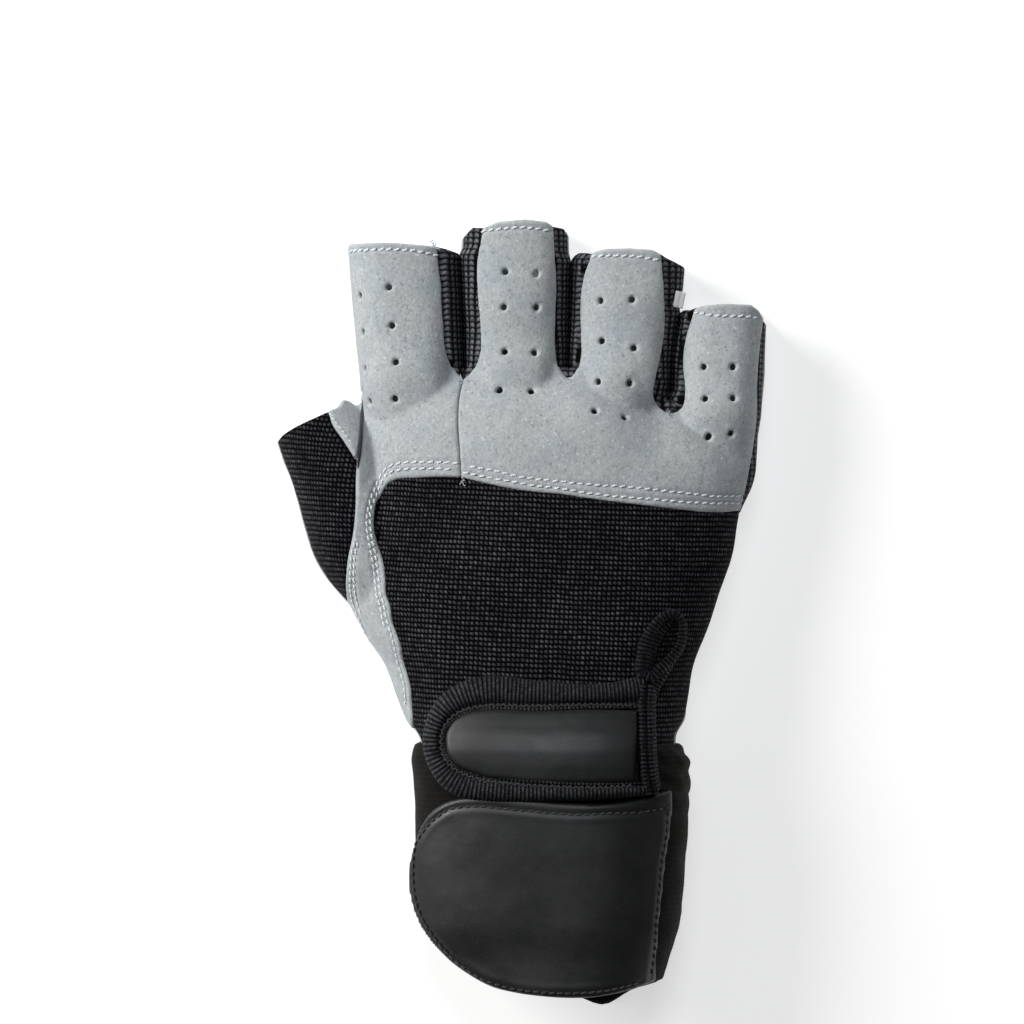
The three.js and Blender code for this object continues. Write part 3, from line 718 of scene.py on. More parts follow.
# breadth, reach, lean, flare of each finger
finger_rows = [(0.2615, 0.3611, -0.0167, 1.06), (0.2656, 0.4109, 0.001, 1.075),
               (0.2531, 0.3414, 0.0281, 1.11), (0.2219, 0.2824, 0.0125, 1.04)]
# along, width, height of a finger's sections
finger_sections = np.array([(-0.45, 0.9, 1.0), (0.0, 0.99, 1.12), (0.3, 1.0, 1.05), (0.6, 1.01, 1.03),
                            (1.0, 1.0, 0.96)])
# palm end x and y, breadth, turn, height of the thumb's sections from its opening to its root
thumb_sections = np.array([(-0.482, 0.942, 1.0, 32, 0.92), (-0.43, 0.89, 1.17, 34, 1.0),
                           (-0.388, 0.80, 1.23, 31, 1.08), (-0.363, 0.66, 1.165, 27, 1.12),
                           (-0.35, 0.533, 0.985, 22, 1.12), (-0.325, 0.408, 0.765, 13, 1.05)])


def web_short(across):
    i = np.clip(np.searchsorted(web_line[:, 0], across, side="right") - 1, 0, len(web_line) - 2)
    a, b = web_line[i], web_line[i + 1]
    return a[..., 1] + (b[..., 1] - a[..., 1]) * step_between(across, a[..., 0], b[..., 0])


def hand_table(wall, climb=0.0):
    """The hand's sections in the part's frame, grown by a wall."""
    along, wrist, left, right, top, lift = hand_rows.T
    breadth = wrist * WRIST_WIDTH + (1 - wrist) * PALM_WIDTH
    height = wrist * WRIST_HEIGHT + (1 - wrist) * PALM_HEIGHT
    rise = lift * (WRAP_WALL + GAP)
    more = wall + climb * lift
    high = SUEDE + top * height + rise
    y = np.where(along < 0, along * WRAP_LENGTH, along * PALM_LENGTH) + SHIFT[1]
    return {
        "y": y, "left": left * breadth - more + SHIFT[0], "right": right * breadth + more + SHIFT[0],
        "top": high + more, "floor": SUEDE + rise - more,
        "widest": (SUEDE + rise) + (high - SUEDE - rise) * WIDEST,
    }


def at_row(table, y):
    return {k: through(y, table["y"], v) for k, v in table.items() if k != "y"}


def section(angle, half_left, half_right, top, floor, widest, upper=UPPER):
    """Rounded section: across and level at angles round it."""
    c, s = np.cos(angle), np.sin(angle)
    power = np.where(s > 0, upper, LOWER)
    x = np.sign(c) * np.abs(c)**(2 / power) * np.where(c < 0, half_left, half_right)
    rise = np.abs(s)**(2 / power) * np.where(s > 0, top - widest, (widest - floor) * FLAT)
    return x, np.maximum(widest + np.sign(s) * rise, floor)


def body_rings(wall, ys, count, widening=0.0, climb=0.0):
    rows = at_row(hand_table(wall, climb), ys)
    angle = around(count, 0.5)[None]
    half = ((rows["right"] - rows["left"]) / 2)[:, None]
    middle = ((rows["right"] + rows["left"]) / 2)[:, None]
    x, z = section(angle, half + widening, half, rows["top"][:, None], rows["floor"][:, None],
                   rows["widest"][:, None])
    x = x + middle
    share = (ys - SHIFT[1]) / PALM_LENGTH
    bend = step_between(share, 0.5, 1.0)[:, None]
    y = ys[:, None] - bend * web_short((x - SHIFT[0]) / PALM_WIDTH) * PALM_LENGTH
    return np.stack([x, y, z], axis=2)


knuckles = sum(row[0] for row in finger_rows) * PALM_WIDTH + 3 * 0.25
reached = -0.45 * PALM_WIDTH + (PALM_WIDTH - knuckles) / 2
fingers = []
for breadth, reach, lean, flare in finger_rows:
    wide = breadth * PALM_WIDTH
    across = reached + wide / 2
    reached += wide + 0.25
    root_y = (1 - float(web_short(np.array((across - wide / 2) / PALM_WIDTH)))) * PALM_LENGTH
    fingers.append({"wide": wide, "x": across + SHIFT[0], "y": root_y + SHIFT[1], "long": reach * PALM_LENGTH,
                    "lean": lean * PALM_WIDTH, "flare": flare})


# where neighbouring fingers touch
creases = [trace((459, 180), (459, 254), (461, 300), (463, 341), (463.5, 372)),
           trace((571, 180), (571, 261), (569, 310), (567.5, 357), (568, 374)),
           trace((689, 180), (688, 262), (685.5, 290), (681.5, 309), (676.5, 330), (672, 360), (670, 408))]


def crease_x(i, y):
    line = creases[i][::-1]
    return np.interp(y, line[:, 1], line[:, 0])


# how far each finger's sides start from the crease, before they are pressed together
CREASE_SHARES = np.array([(0, 1.6), (0.4, 0.4), (1.6, 0.4), (1.6, 0)])


def finger_rings(i, inner, count=72):
    """Rings of a finger whose sides follow the creases beside it."""
    one = fingers[i]
    along = np.concatenate([np.linspace(-0.45, 1.0, 44), 1 + np.array([0.08, 0.16, 0.26])])
    width = through(along, finger_sections[:, 0], finger_sections[:, 1])
    height = through(along, finger_sections[:, 0], finger_sections[:, 2])
    half = one["wide"] / 2 * (1 + (one["flare"] - 1) * np.maximum(along, 0)) * width
    top = SUEDE + FINGER_HEIGHT * height
    angle = around(count, 0.5)[None]
    middle = one["x"] + one["lean"] * along
    y = one["y"] + one["long"] * along
    follow = step_between(along, -0.22, 0.02)
    near_left, near_right = inner * CREASE_SHARES[i]
    left = half if i == 0 else half + (middle - crease_x(i - 1, y) - near_left - half) * follow
    right = half if i == 3 else half + (crease_x(i, y) - middle - near_right - half) * follow
    x, z = section(angle, left[:, None], right[:, None], (top + SUEDE)[:, None], 0.0,
                   (SUEDE + (top - SUEDE) * WIDEST)[:, None], 2.7)
    x = x + middle[:, None]
    y = np.broadcast_to(y[:, None], x.shape)
    return np.stack([x, y, z], axis=2)


def thumb_rings(count=72):
    t = np.concatenate([[-0.35, -0.2, -0.1], np.linspace(0, 5, 50)])
    k = np.arange(6)
    held = np.clip(t, 0, 5)
    px, py, breadth, turn, height = (through(held, k, thumb_sections[:, i]) for i in range(5))
    turn = np.radians(turn)
    side = np.stack([np.cos(turn), np.sin(turn)], axis=1)
    wide = breadth * THUMB_WIDTH
    middle = np.stack([px * PALM_WIDTH, py * PALM_LENGTH], axis=1) - side * (wide / 2)[:, None]
    ahead = np.stack([-side[:, 1], side[:, 0]], axis=1)
    middle = middle + ahead * (np.maximum(-t, 0) * 22)[:, None] + SHIFT
    top = SUEDE + THUMB_HEIGHT * height
    angle = around(count, 0.5)[None]
    x, z = section(angle, (wide / 2)[:, None], (wide / 2)[:, None], (top + SUEDE)[:, None], 0.0,
                   (SUEDE + (top - SUEDE) * WIDEST)[:, None])
    return np.stack([middle[:, 0:1] + side[:, 0:1] * x, middle[:, 1:2] + side[:, 1:2] * x, z], axis=2)


def signed_volume(p, tri):
    """Six times the volume inside closed triangles, below zero where they face inwards."""
    return np.einsum("ij,ij->i", p[tri[:, 0]], np.cross(p[tri[:, 1]], p[tri[:, 2]])).sum()


def capped(rings):
    """Closed triangles over rings, with a point in the middle of each end."""
    sheet = grid_sheet(rings, wrap=True)
    count = rings.shape[1]
    n = len(sheet.p)
    j = np.arange(count)
    k = (j + 1) % count
    last = n - count
    start = np.stack([np.full(count, n), k, j], axis=1)
    end = np.stack([np.full(count, n + 1), last + j, last + k], axis=1)
    p = np.vstack([sheet.p, rings[0].mean(axis=0), rings[-1].mean(axis=0)])
    tri = np.concatenate([sheet.tri, start, end])
    return p, (tri if signed_volume(p, tri) > 0 else tri[:, ::-1])


def remeshed(parts, voxel, rounds):
    """One smooth skin round closed forms that overlap."""
    points, faces, n = [], [], 0
    for p, tri in parts:
        points.append(p)
        faces.append(tri + n)
        n += len(p)
    mesh = bpy.data.meshes.new("skin")
    mesh.from_pydata(np.vstack(points).tolist(), [], np.vstack(faces).tolist())
    obj = bpy.data.objects.new("skin", mesh)
    bpy.context.collection.objects.link(obj)
    remesh = obj.modifiers.new("voxels", "REMESH")
    remesh.mode = "VOXEL"
    remesh.voxel_size = voxel
    smooth = obj.modifiers.new("smooth", "SMOOTH")
    smooth.factor = 0.5
    smooth.iterations = rounds
    graph = bpy.context.evaluated_depsgraph_get()
    done = obj.evaluated_get(graph).to_mesh()
    p = np.empty(len(done.vertices) * 3)
    done.vertices.foreach_get("co", p)
    n = np.empty(len(done.vertices) * 3)
    done.vertices.foreach_get("normal", n)
    done.calc_loop_triangles()
    tri = np.empty(len(done.loop_triangles) * 3, np.int32)
    done.loop_triangles.foreach_get("vertices", tri)
    bpy.data.objects.remove(obj)
    bpy.data.meshes.remove(mesh)
    return Sheet(p.reshape(-1, 3), tri.reshape(-1, 3).astype(np.int64), n=n.reshape(-1, 3))


body_ys = np.concatenate([np.arange(-20, 81, 1.5), [83.0, 85.5, 87.5, 89.4]]) + SHIFT[1]
body_table_ys = np.minimum(body_ys, SHIFT[1] + PALM_LENGTH)
body = body_rings(SUEDE, body_table_ys, 150)
body[-4:, :, 1] += np.array([0.0, 0.4, 1.6, 3.0])[:, None]


def all_forms(inner):
    """The hand, fingers and thumb, with the fingers apart by twice the given distance."""
    return [capped(body[::-1])] + [capped(finger_rings(i, inner)) for i in range(4)] + [capped(thumb_rings())]


forms, wide_forms = all_forms(0.7), all_forms(1.05)

# Lines of the photograph, in plan

knit_top = trace((800, 511), (760, 511), (740, 511.5), (724, 512.6), (701, 512), (678, 509.5), (632, 504),
                 (586, 498), (560, 494), (536, 492), (508, 488), (480, 482), (463, 478), (445, 477),
                 (417, 478), (396, 479.5), (387, 484), (380, 495), (376, 509), (375, 522))
strip_inner = trace((375.5, 530), (378.6, 546), (383, 564), (385, 580), (385.5, 594), (390, 606),
                    (391.5, 621), (397, 636), (400.5, 648), (402, 660), (406, 673), (409.5, 688),
                    (410.5, 706), (412, 725), (419, 745), (428, 775), (436, 830), (440, 900))
knit_edge = spline(np.vstack([knit_top, strip_inner]), 1.5)
knit_outline = np.vstack([knit_edge, at(820, 900), at(820, 511)])

strip_outer = trace((362, 385), (361.7, 401), (362.4, 422), (361, 443), (358.5, 461), (357, 480),
                    (356.6, 500), (355, 524), (352, 542), (348.5, 556), (346, 575), (345.5, 590), (347, 603),
                    (350, 615))
thumb_edge = spline(strip_outer, 1.5)
thumb_outline = np.vstack([thumb_edge, at(330, 640), at(230, 640), at(230, 392), at(361, 392)])
gusset_edge = spline(trace((329, 410), (334, 426), (342, 437), (350, 449), (357, 460)), 1.5)
gusset_outline = np.vstack([at(322, 396), gusset_edge, at(361, 443), at(362.4, 422), at(361.7, 401),
                            at(361, 380)])

seam_index = trace((464, 360), (463, 377), (459, 398), (458, 426), (459.5, 449), (460.5, 468), (463, 500))
index_outline = np.vstack([spline(seam_index, 1.5), at(463, 900), at(200, 900), at(200, 150), at(464, 150)])

side_edge = trace((766, 300), (764.5, 318), (763, 330), (761, 345), (758, 383), (757, 421), (753.5, 450),
                  (750, 470), (744, 498), (740, 514))
side_outline = np.vstack([spline(side_edge, 1.5), at(820, 514), at(820, 300)])

slots = [
    trace((438, 180), (438, 240), (438.5, 255), (442, 286), (443, 305), (444.5, 328), (448, 356), (455, 370),
          (463, 377.5), (473, 369), (479, 354), (479.6, 330), (476.5, 292), (476.5, 261), (482, 230),
          (482, 180)),
    trace((554, 180), (554, 229), (555.7, 254), (557.5, 285), (556.3, 321), (556.3, 351), (558.5, 364),
          (562, 372), (568, 377.5), (573, 375), (578.5, 364), (580, 335), (579.5, 305), (583, 276),
          (590, 256), (590, 180)),
    trace((662, 180), (662, 257), (664, 283), (665.4, 306), (665, 335), (661, 358), (656, 381), (654, 393),
          (656, 402), (662, 409), (670, 412.5), (678, 411), (682.5, 404), (684, 391), (682, 365), (685, 337),
          (693, 312), (693, 180)),
]
slot_edges = [spline(s, 1.2) for s in slots]
openings = [
    trace((330, 243.5), (351, 243.5), (394, 243), (437, 246.5), (447, 248.5), (462, 255)),
    trace((456, 240), (462, 234.5), (469, 227.5), (482, 228), (498, 222), (525, 219.5), (547, 222),
          (554, 226.5), (567, 228.5), (571, 235), (575, 247)),
    trace((572, 253), (577, 252.5), (590, 254), (597, 251), (606, 249), (629, 248.5), (652, 250), (661, 254),
          (669, 258.5), (676, 261.5), (690, 268)),
    trace((668, 309), (680, 308.5), (693, 309.5), (699, 306), (724, 304), (752, 305), (760, 310), (767, 322)),
]
thumb_hem = spline(trace((272, 446), (278.6, 438), (290, 430.5), (326.5, 412)), 1.5)
gusset_hem = spline(trace((326.5, 412), (334, 408), (341.5, 404), (344, 398), (348, 399.5),
                          (355.5, 402)), 1.0)
thumb_open = np.vstack([at(262, 449), thumb_hem, gusset_hem,
                        trace((355.8, 392), (355, 375), (352.5, 356), (348, 321), (344, 290), (220, 290),
                              (220, 449))])
OPEN_END = float(SHIFT[1] - 14)


def opened(sheet, spacing):
    """A skin cut open at the fingers, the thumb and the cuff, and between the fingers."""
    x, y = sheet.p[:, 0], sheet.p[:, 1]
    which = sum((x > crease_x(i, y)).astype(int) for i in range(3))
    level = np.empty(len(x))
    for i, line in enumerate(openings):
        level = np.where(which == i, np.interp(x, line[:, 0], line[:, 1]), level)
    beyond = level - y
    thumb = -within(sheet.p, thumb_open)
    cuff = y - OPEN_END
    field = np.minimum(np.minimum(beyond, cuff), thumb)
    if spacing:
        for i, tip in enumerate((380, 380, 415)):
            apart = np.abs(x - crease_x(i, y)) - spacing
            short = at(0, tip)[1] - y
            field = np.minimum(field, np.maximum(apart, short))
    return clipped(sheet, field)


# Folds and dents of the hand, shared by all its panels

def dent(p, line, width, depth):
    """A soft valley along a line in plan."""
    d = to_line(p, np.asarray(line))
    return -depth * np.exp(-(d / width)**2)


def folds(p, n):
    up = np.clip(n[:, 2], 0, 1)
    h = 0.34 * noise(p, 17, 1) + 0.16 * noise(p, 8, 2) + 0.07 * noise(p, 3.6, 3)
    for line, width, depth in (
        (trace((676, 414), (688, 420), (701, 430)), 1.6, 0.55),
        (trace((640, 380), (646, 392), (652, 404)), 3.2, 0.6),
        (trace((560, 380), (548, 392), (540, 400)), 3.0, 0.4),
        (trace((578, 382), (590, 398), (604, 408)), 3.5, 0.35),
        (trace((463, 380), (461, 410), (461, 440)), 2.6, 0.35),
        (trace((444, 340), (448, 365), (458, 385)), 3.0, 0.15),
        (trace((366, 420), (372, 450), (370, 480)), 3.0, 0.3),
        (trace((700, 440), (728, 448), (752, 444)), 4.0, 0.35),
        (trace((350, 300), (372, 306), (392, 303)), 3.5, 0.25),
        (trace((486, 330), (515, 334), (550, 331)), 4.5, 0.3),
        (trace((586, 324), (610, 328), (650, 326)), 4.5, 0.3),
        (trace((690, 344), (716, 348), (752, 345)), 4.0, 0.3),
    ):
        h += dent(p, line, width, depth) * up
    for px, py, wide, high in ((405, 440, 60, 0.9), (515, 425, 58, 0.9), (610, 425, 52, 1.1),
                               (700, 465, 46, 0.8),
                               (722, 400, 26, 0.5), (620, 400, 26, 0.45)):
        q = (p[:, :2] - np.array(at(px, py))) / (wide * PIXEL)
        h += high * np.exp(-(q**2).sum(axis=1) * 1.4) * up
    return h


def measured(sheet):
    """Adds the weave's coordinates to a skin: across and along, in millimetres round the form."""
    p = sheet.p
    n = sheet.data["n"]
    x, y, z = p.T
    which = sum((x > crease_x(i, y)).astype(int) for i in range(3))
    middle = np.interp(y, [-60, 0, 60], [3.0, 6.0, 9.0])
    beyond_web = y > np.choose(which, [at(0, 380)[1], at(0, 380)[1], at(0, 380)[1], at(0, 410)[1]])
    own = np.choose(which, [f["x"] for f in fingers])
    middle = np.where(beyond_web, own, middle)
    top = np.where(beyond_web, 25.0, 34.0)
    sheet.data["u"] = np.where(x > middle, 1, -1) * (np.abs(x - middle) + 0.8 * np.clip(top - z, 0, None))
    sheet.data["v"] = y + 0.035 * x - 0.0003 * (x - 8)**2
    return sheet


def pressed(points, normal, i):
    """Presses the walls of two neighbouring fingers against each other along their crease."""
    start = at(0, (376, 376, 410)[i])[1]
    stop = at(0, (253, 258, 311)[i])[1]
    points = points.copy()
    x, y = points[:, 0].copy(), points[:, 1]
    away = x - crease_x(i, y)
    bins = np.arange(start, start + 48, 1.0)
    for side in (-1, 1):
        facing = -side * normal[:, 0]
        mine = (np.abs(away) < 5.5) & (away * side > -0.8) & (facing > 0.1)
        wall = mine & (facing > 0.7)
        nearest = np.array([(away * side)[wall & (y >= b) & (y < b + 1.0)].min(initial=4.0) for b in bins])
        known = nearest < 3.9
        if known.sum() < 3:
            continue
        nearest = np.interp(bins, bins[known], nearest[known])
        nearest = np.convolve(np.pad(nearest, 2, mode="edge"), np.ones(5) / 5, mode="valid")
        reach = (np.interp(y, bins + 0.5, nearest) + 0.1) * step_between(y, start - 0.5, start + 2.5)
        reach *= 1 - step_between(y, stop - 1.0, stop + 2.0)
        points[:, 0] -= np.where(mine, side * reach * step_between(facing, 0.1, 0.75), 0)
    return points


skin = opened(remeshed(forms, 0.5, 9), 0)
skin.p = skin.p + skin.data["n"] * folds(skin.p, skin.data["n"])[:, None]
skin.data["n"] = faceted_normals(skin.p, skin.tri)
measured(skin)

# Panels of the hand

far_rows = hand_table(0.0)
wrist_rows = hand_rows[:, 1]
seam_rows = far_rows["floor"] + 9.0 * (1 + 0.35 * wrist_rows)


def seam_level(y):
    waist = far_rows["y"][8]
    return np.where(y > waist, SEAM, through(np.minimum(y, waist), far_rows["y"], seam_rows))


upper_rows = [
    trace((377, 484), (382, 475), (388, 468), (396, 464.5), (407, 463), (438, 462.5), (459, 464), (473, 467),
          (494, 471), (520, 477), (548, 480.5), (594, 485), (632, 487.5), (659, 490.5), (693, 494),
          (716, 496.5), (743, 496)),
    trace((386, 476), (391, 472.5), (398, 470.5), (407, 469.5), (427, 468.5), (449, 469.5), (466, 473),
          (487, 477.5), (508, 481), (529, 485), (559, 488.5), (586, 493), (616, 496.5), (650, 499),
          (678, 501.5), (716, 503.5), (740, 503)),
]
strip_rows = [
    trace((386, 476), (380, 487), (375, 499), (371.3, 509), (370.5, 522), (372.5, 538), (375.5, 552),
          (377.5, 566), (380, 580), (381, 592), (384.2, 602), (386.5, 614), (389, 624), (392.5, 636),
          (395.5, 649), (398, 661), (402, 674), (405, 688), (406, 704)),
    trace((377, 484), (373, 493), (370, 502), (367.7, 512), (367, 524), (369, 540), (371.8, 554), (374, 568),
          (376, 582), (377.5, 595), (381, 606), (383, 617), (385.5, 627)),
    trace((354.5, 545), (352, 555), (351.3, 568), (350.8, 580), (351, 590), (353, 601), (356, 611),
          (360, 620), (364.5, 631), (368, 637)),
    trace((358, 545), (355.6, 556), (354.8, 566), (354.6, 579), (355.3, 590), (357.8, 603), (361, 613)),
]
hem_rows = [
    trace((352, 251), (372, 250), (395, 249.7), (420, 252), (437, 256)),
    trace((483, 231.5), (498, 229.5), (525, 228.2), (541, 229.5), (551, 232)),
    trace((594, 256.5), (606, 256), (629, 256.5), (645, 258), (660, 261)),
    trace((696, 313), (709, 315), (721, 316.2), (747, 316.8), (758, 318.5)),
]
gusset_row = trace((331, 415), (337, 424), (345, 434), (352, 444))
row_lines = [spline(line, 0.9) for line in upper_rows + strip_rows + hem_rows]

x, y, z = skin.p.T
in_knit = within(skin.p, knit_outline)
in_thumb = within(skin.p, thumb_outline)
in_gusset = within(skin.p, gusset_outline)
in_index = within(skin.p, index_outline)
in_side = within(skin.p, side_outline)
in_slots = [within(skin.p, s) for s in slot_edges]
any_slot = np.maximum.reduce(in_slots)
above = z - seam_level(y)

perforations = [
    (359, 296), (389, 287.5), (362, 332), (392, 326), (364, 369), (396, 362), (369, 402), (395, 399.5),
    (505, 272), (536.5, 274), (503.5, 307.6), (537, 308), (504.5, 351.6), (535, 352.7), (499.3, 390),
    (531.5, 391), (599.6, 301), (632, 300), (601, 341), (634, 348), (597, 382), (630, 383.5), (594.6, 410.6),
    (624.6, 417), (702.7, 367), (733, 367), (704, 398.5), (733, 398), (708, 437), (731, 434.5),
]
skin_tree = BVHTree.FromPolygons([Vector(q) for q in skin.p], skin.tri.tolist())


def on_surface(tree, px, py, start=200.0):
    hit, normal, _, _ = tree.ray_cast(Vector((px, py, start)), Vector((0, 0, -1)))
    return (np.array(hit), np.array(normal)) if hit is not None else (None, None)


holes = np.full(len(skin.p), 9.0)
for hole in perforations:
    spot, normal = on_surface(skin_tree, *at(*hole))
    away = skin.p - spot
    flat = away - np.outer(away @ normal, normal)
    close = np.abs(away).max(axis=1) < 4
    holes[close] = np.minimum(holes[close], np.linalg.norm(flat[close], axis=1) - 0.80)


def seam_relief(sheet, e):
    """Stitch rows pull the suede down, with a low ridge beside each row, and fine noise over it all."""
    h = np.zeros(len(sheet.p))
    for line in row_lines:
        d = to_line(sheet.p, line)
        h -= 0.22 * np.exp(-(d / 0.45)**2)
        h += 0.10 * np.exp(-((d - 1.0) / 0.5)**2)
    return h + 0.05 * noise(sheet.p, 1.4, 5)


def pick(field):
    return largest(clipped(skin, field))


SUEDE_SHEET, KNIT_SHEET = 1.4, 1.1
seam_rim = {"rim": 0.7, "rim_drop": 0.55, "relief": seam_relief}
hems = {}
index_sheet = pick(np.minimum.reduce([in_index - 0.08, -in_knit, -in_thumb, -any_slot, above - 0.1, holes]))
_, hems["index"] = panel("index_panel_suede", "index_panel", "suede_grey", "suede", index_sheet,
                         SUEDE_SHEET, **seam_rim)
finger_sheet = pick(np.minimum.reduce([-in_index - 0.08, -in_knit, -in_side, -any_slot, above - 0.1, holes]))
_, hems["fingers"] = panel("finger_panel_suede", "finger_panel", "suede_grey", "suede", finger_sheet,
                           SUEDE_SHEET, **seam_rim)
back_sheet = pick(np.minimum.reduce([in_knit + 0.7, -in_side, above - 0.1]))
panel("back_panel_knit", "back_panel", "knit_black", "knit", back_sheet, KNIT_SHEET, drop=0.5, rim=0.5,
      rim_drop=0.4)
side_sheet = pick(np.minimum(in_side, above - 0.1))
panel("side_strip_knit", "side_strip", "rib_black", "braid", side_sheet, KNIT_SHEET, drop=0.35, rim=0.6,
      rim_drop=0.4)
for i, name in enumerate(("index_middle", "middle_ring", "ring_little")):
    walls = pick(np.minimum(in_slots[i] + 0.5, above - 0.1))
    panel(f"fourchette_{name}_knit", f"fourchette_{name}", "rib_black", "braid", walls, KNIT_SHEET,
          drop=0.45, rim=0.6, rim_drop=0.45, press=(i,))
thumb_sheet = pick(np.minimum.reduce([in_thumb - 0.05, -in_gusset, above - 0.1]))
panel("thumb_back_knit", "thumb_back", "knit_black", "knit", thumb_sheet, KNIT_SHEET, drop=0.35, rim=0.7,
      rim_drop=0.5)
gusset_sheet = pick(np.minimum.reduce([in_gusset - 0.05, in_thumb - 0.1, above - 0.1]))
_, hems["gusset"] = panel("thumb_gusset_suede", "thumb_gusset", "suede_grey", "suede", gusset_sheet,
                          SUEDE_SHEET, drop=0.1, rim=0.7, rim_drop=0.5)

# Palm, from a coarser skin
under = opened(remeshed(wide_forms, 0.8, 5), 0.1)
swell = folds(under.p, under.data["n"]) * (under.data["n"][:, 2] > -0.6)
under.p = under.p + under.data["n"] * swell[:, None]
under.p[:, 2] = np.maximum(under.p[:, 2], 0.02)
under.data["n"] = faceted_normals(under.p, under.tri)
measured(under)
palm_sheet = largest(clipped(under, seam_level(under.p[:, 1]) - 0.1 - under.p[:, 2]))
panel("palm_panel_suede", "palm_panel", "suede_grey", "suede", palm_sheet, SUEDE_SHEET, rim=0.8,
      rim_drop=0.5, press=(0, 1, 2))


# Stitches

def laid(line, tree, step, lift=0.0):
    """Places and normals of a plan line on a surface, evenly spaced over it."""
    fine = spline(line, 0.25)
    hits = [on_surface(tree, *q) for q in fine]
    hits = [(s, n) for s, n in hits if s is not None and n[2] > 0.05]
    places = np.array([s for s, _ in hits])
    normals = np.array([n for _, n in hits])
    run = run_along(places)
    at_step = np.arange(0, run[-1], step)
    out = np.stack([np.interp(at_step, run, places[:, k]) for k in range(3)], axis=1)
    up = np.stack([np.interp(at_step, run, normals[:, k]) for k in range(3)], axis=1)
    up = unit(up)
    return out + up * lift, up


def stitch_row(places, normals, length, radius, slant=0.0, seed=0, rise=0.16, sides=7, rings=9):
    """Short arched threads, one at each place."""
    rng = np.random.RandomState(seed)
    tangent = unit(np.gradient(places, axis=0))
    points, faces, uv = [], [], []
    t = np.linspace(-1, 1, rings)
    angle = around(sides)
    base = 0
    for i in range(len(places)):
        n = normals[i]
        b = np.cross(n, tangent[i])
        b /= np.linalg.norm(b)
        turn = slant + rng.uniform(-0.07, 0.07)
        direction = tangent[i] * math.cos(turn) + b * math.sin(turn)
        across = np.cross(n, direction)
        size = length * rng.uniform(0.92, 1.06) / 2
        for k, s in enumerate(t):
            middle = places[i] + direction * (s * size) + n * (rise * (1 - s**4) - 0.22 * abs(s)**6)
            thin = radius * (1 - 0.5 * abs(s)**5)
            ring = middle + np.outer(np.cos(angle), across) * thin + np.outer(np.sin(angle), n) * thin * 0.8
            points.append(ring)
            uv += [(s * size, a) for a in angle / (2 * np.pi)]
        for k in range(rings - 1):
            for j in range(sides):
                a, c = base + k * sides + j, base + k * sides + (j + 1) % sides
                faces.append((a, c, c + sides, a + sides))
        faces.append(tuple(base + j for j in reversed(range(sides))))
        faces.append(tuple(base + (rings - 1) * sides + j for j in range(sides)))
        base += sides * rings
    return np.vstack(points), faces, uv


def joined(parts):
    points, faces, uv, n = [], [], [], 0
    for p, f, w in parts:
        points.append(p)
        faces += [tuple(k + n for k in face) for face in f]
        uv += list(w)
        n += len(p)
    return np.vstack(points), faces, uv


def sew(name, rows, look, slot):
    parts = []
    for k, (line, tree, pitch, length, radius, slant) in enumerate(rows):
        places, normals = laid(line, tree, pitch, 0.05)
        if len(places) > 2:
            parts.append(stitch_row(places, normals, length, radius, slant, seed=k))
    p, f, uv = joined(parts)
    return make_object(name, p, f, look, slot, uv=uv)


# pitch, length, radius and slant
SEAM_STITCH, STRIP_STITCH = (2.02, 1.62, 0.25, 0.26), (1.75, 1.45, 0.23, 0.28)
HEM_STITCH, GUSSET_STITCH = (1.9, 1.65, 0.28, 0.34), (1.4, 1.1, 0.16, 0.2)
white_rows = []
for line in upper_rows:
    split = line[:, 0] < at(463, 0)[0] + 0.5
    white_rows += [(line[split], hems["index"], *SEAM_STITCH), (line[~split], hems["fingers"], *SEAM_STITCH)]
white_rows += [(line, hems["index"], *STRIP_STITCH) for line in strip_rows]
white_rows += [(line, hems["fingers" if i else "index"], *HEM_STITCH) for i, line in enumerate(hem_rows)]
sew("white_stitches", white_rows, "white_thread", "tag_white")
sew("gusset_stitches", [(gusset_row, hems["gusset"], *GUSSET_STITCH)], "white_thread", "tag_white")


# Wrist wrap, flap and closure strap

WRAP_IN = SUEDE + GAP
WRAP_OUT = WRAP_IN + WRAP_WALL
STAND_OFF = 0.1 * WRIST_WIDTH
STRAP_BASE = KNIT + GAP
STRAP_CLIMB = WRAP_OUT - KNIT


def back_level(x, y, wall, widening=0.0, climb=0.0):
    """Level of the back of a form at places in plan."""
    row = at_row(hand_table(wall, climb), y)
    middle = (row["left"] + row["right"]) / 2
    half = (row["right"] - row["left"]) / 2
    s = np.minimum(np.abs(x - middle) / (half + np.where(x < middle, widening, 0)), 0.995)
    return row["widest"] + (row["top"] - row["widest"]) * (1 - s**UPPER)**(1 / UPPER)


def plan_sheet(outline, spacing, level):
    """Sheet over a plan outline at a level."""
    low, high = outline.min(axis=0) - spacing * 2, outline.max(axis=0) + spacing * 2
    gx = np.arange(low[0], high[0], spacing)
    gy = np.arange(low[1], high[1], spacing)
    px, py = np.meshgrid(gx, gy)
    sheet = grid_sheet(np.stack([px, py, np.zeros_like(px)], axis=2))
    sheet = largest(clipped(sheet, within(sheet.p, outline)))
    sheet.p[:, 2] = level(sheet.p[:, 0], sheet.p[:, 1])
    sheet.data["n"] = faceted_normals(sheet.p, sheet.tri)
    sheet.data["u"], sheet.data["v"] = sheet.p[:, 0].copy(), sheet.p[:, 1].copy()
    return sheet


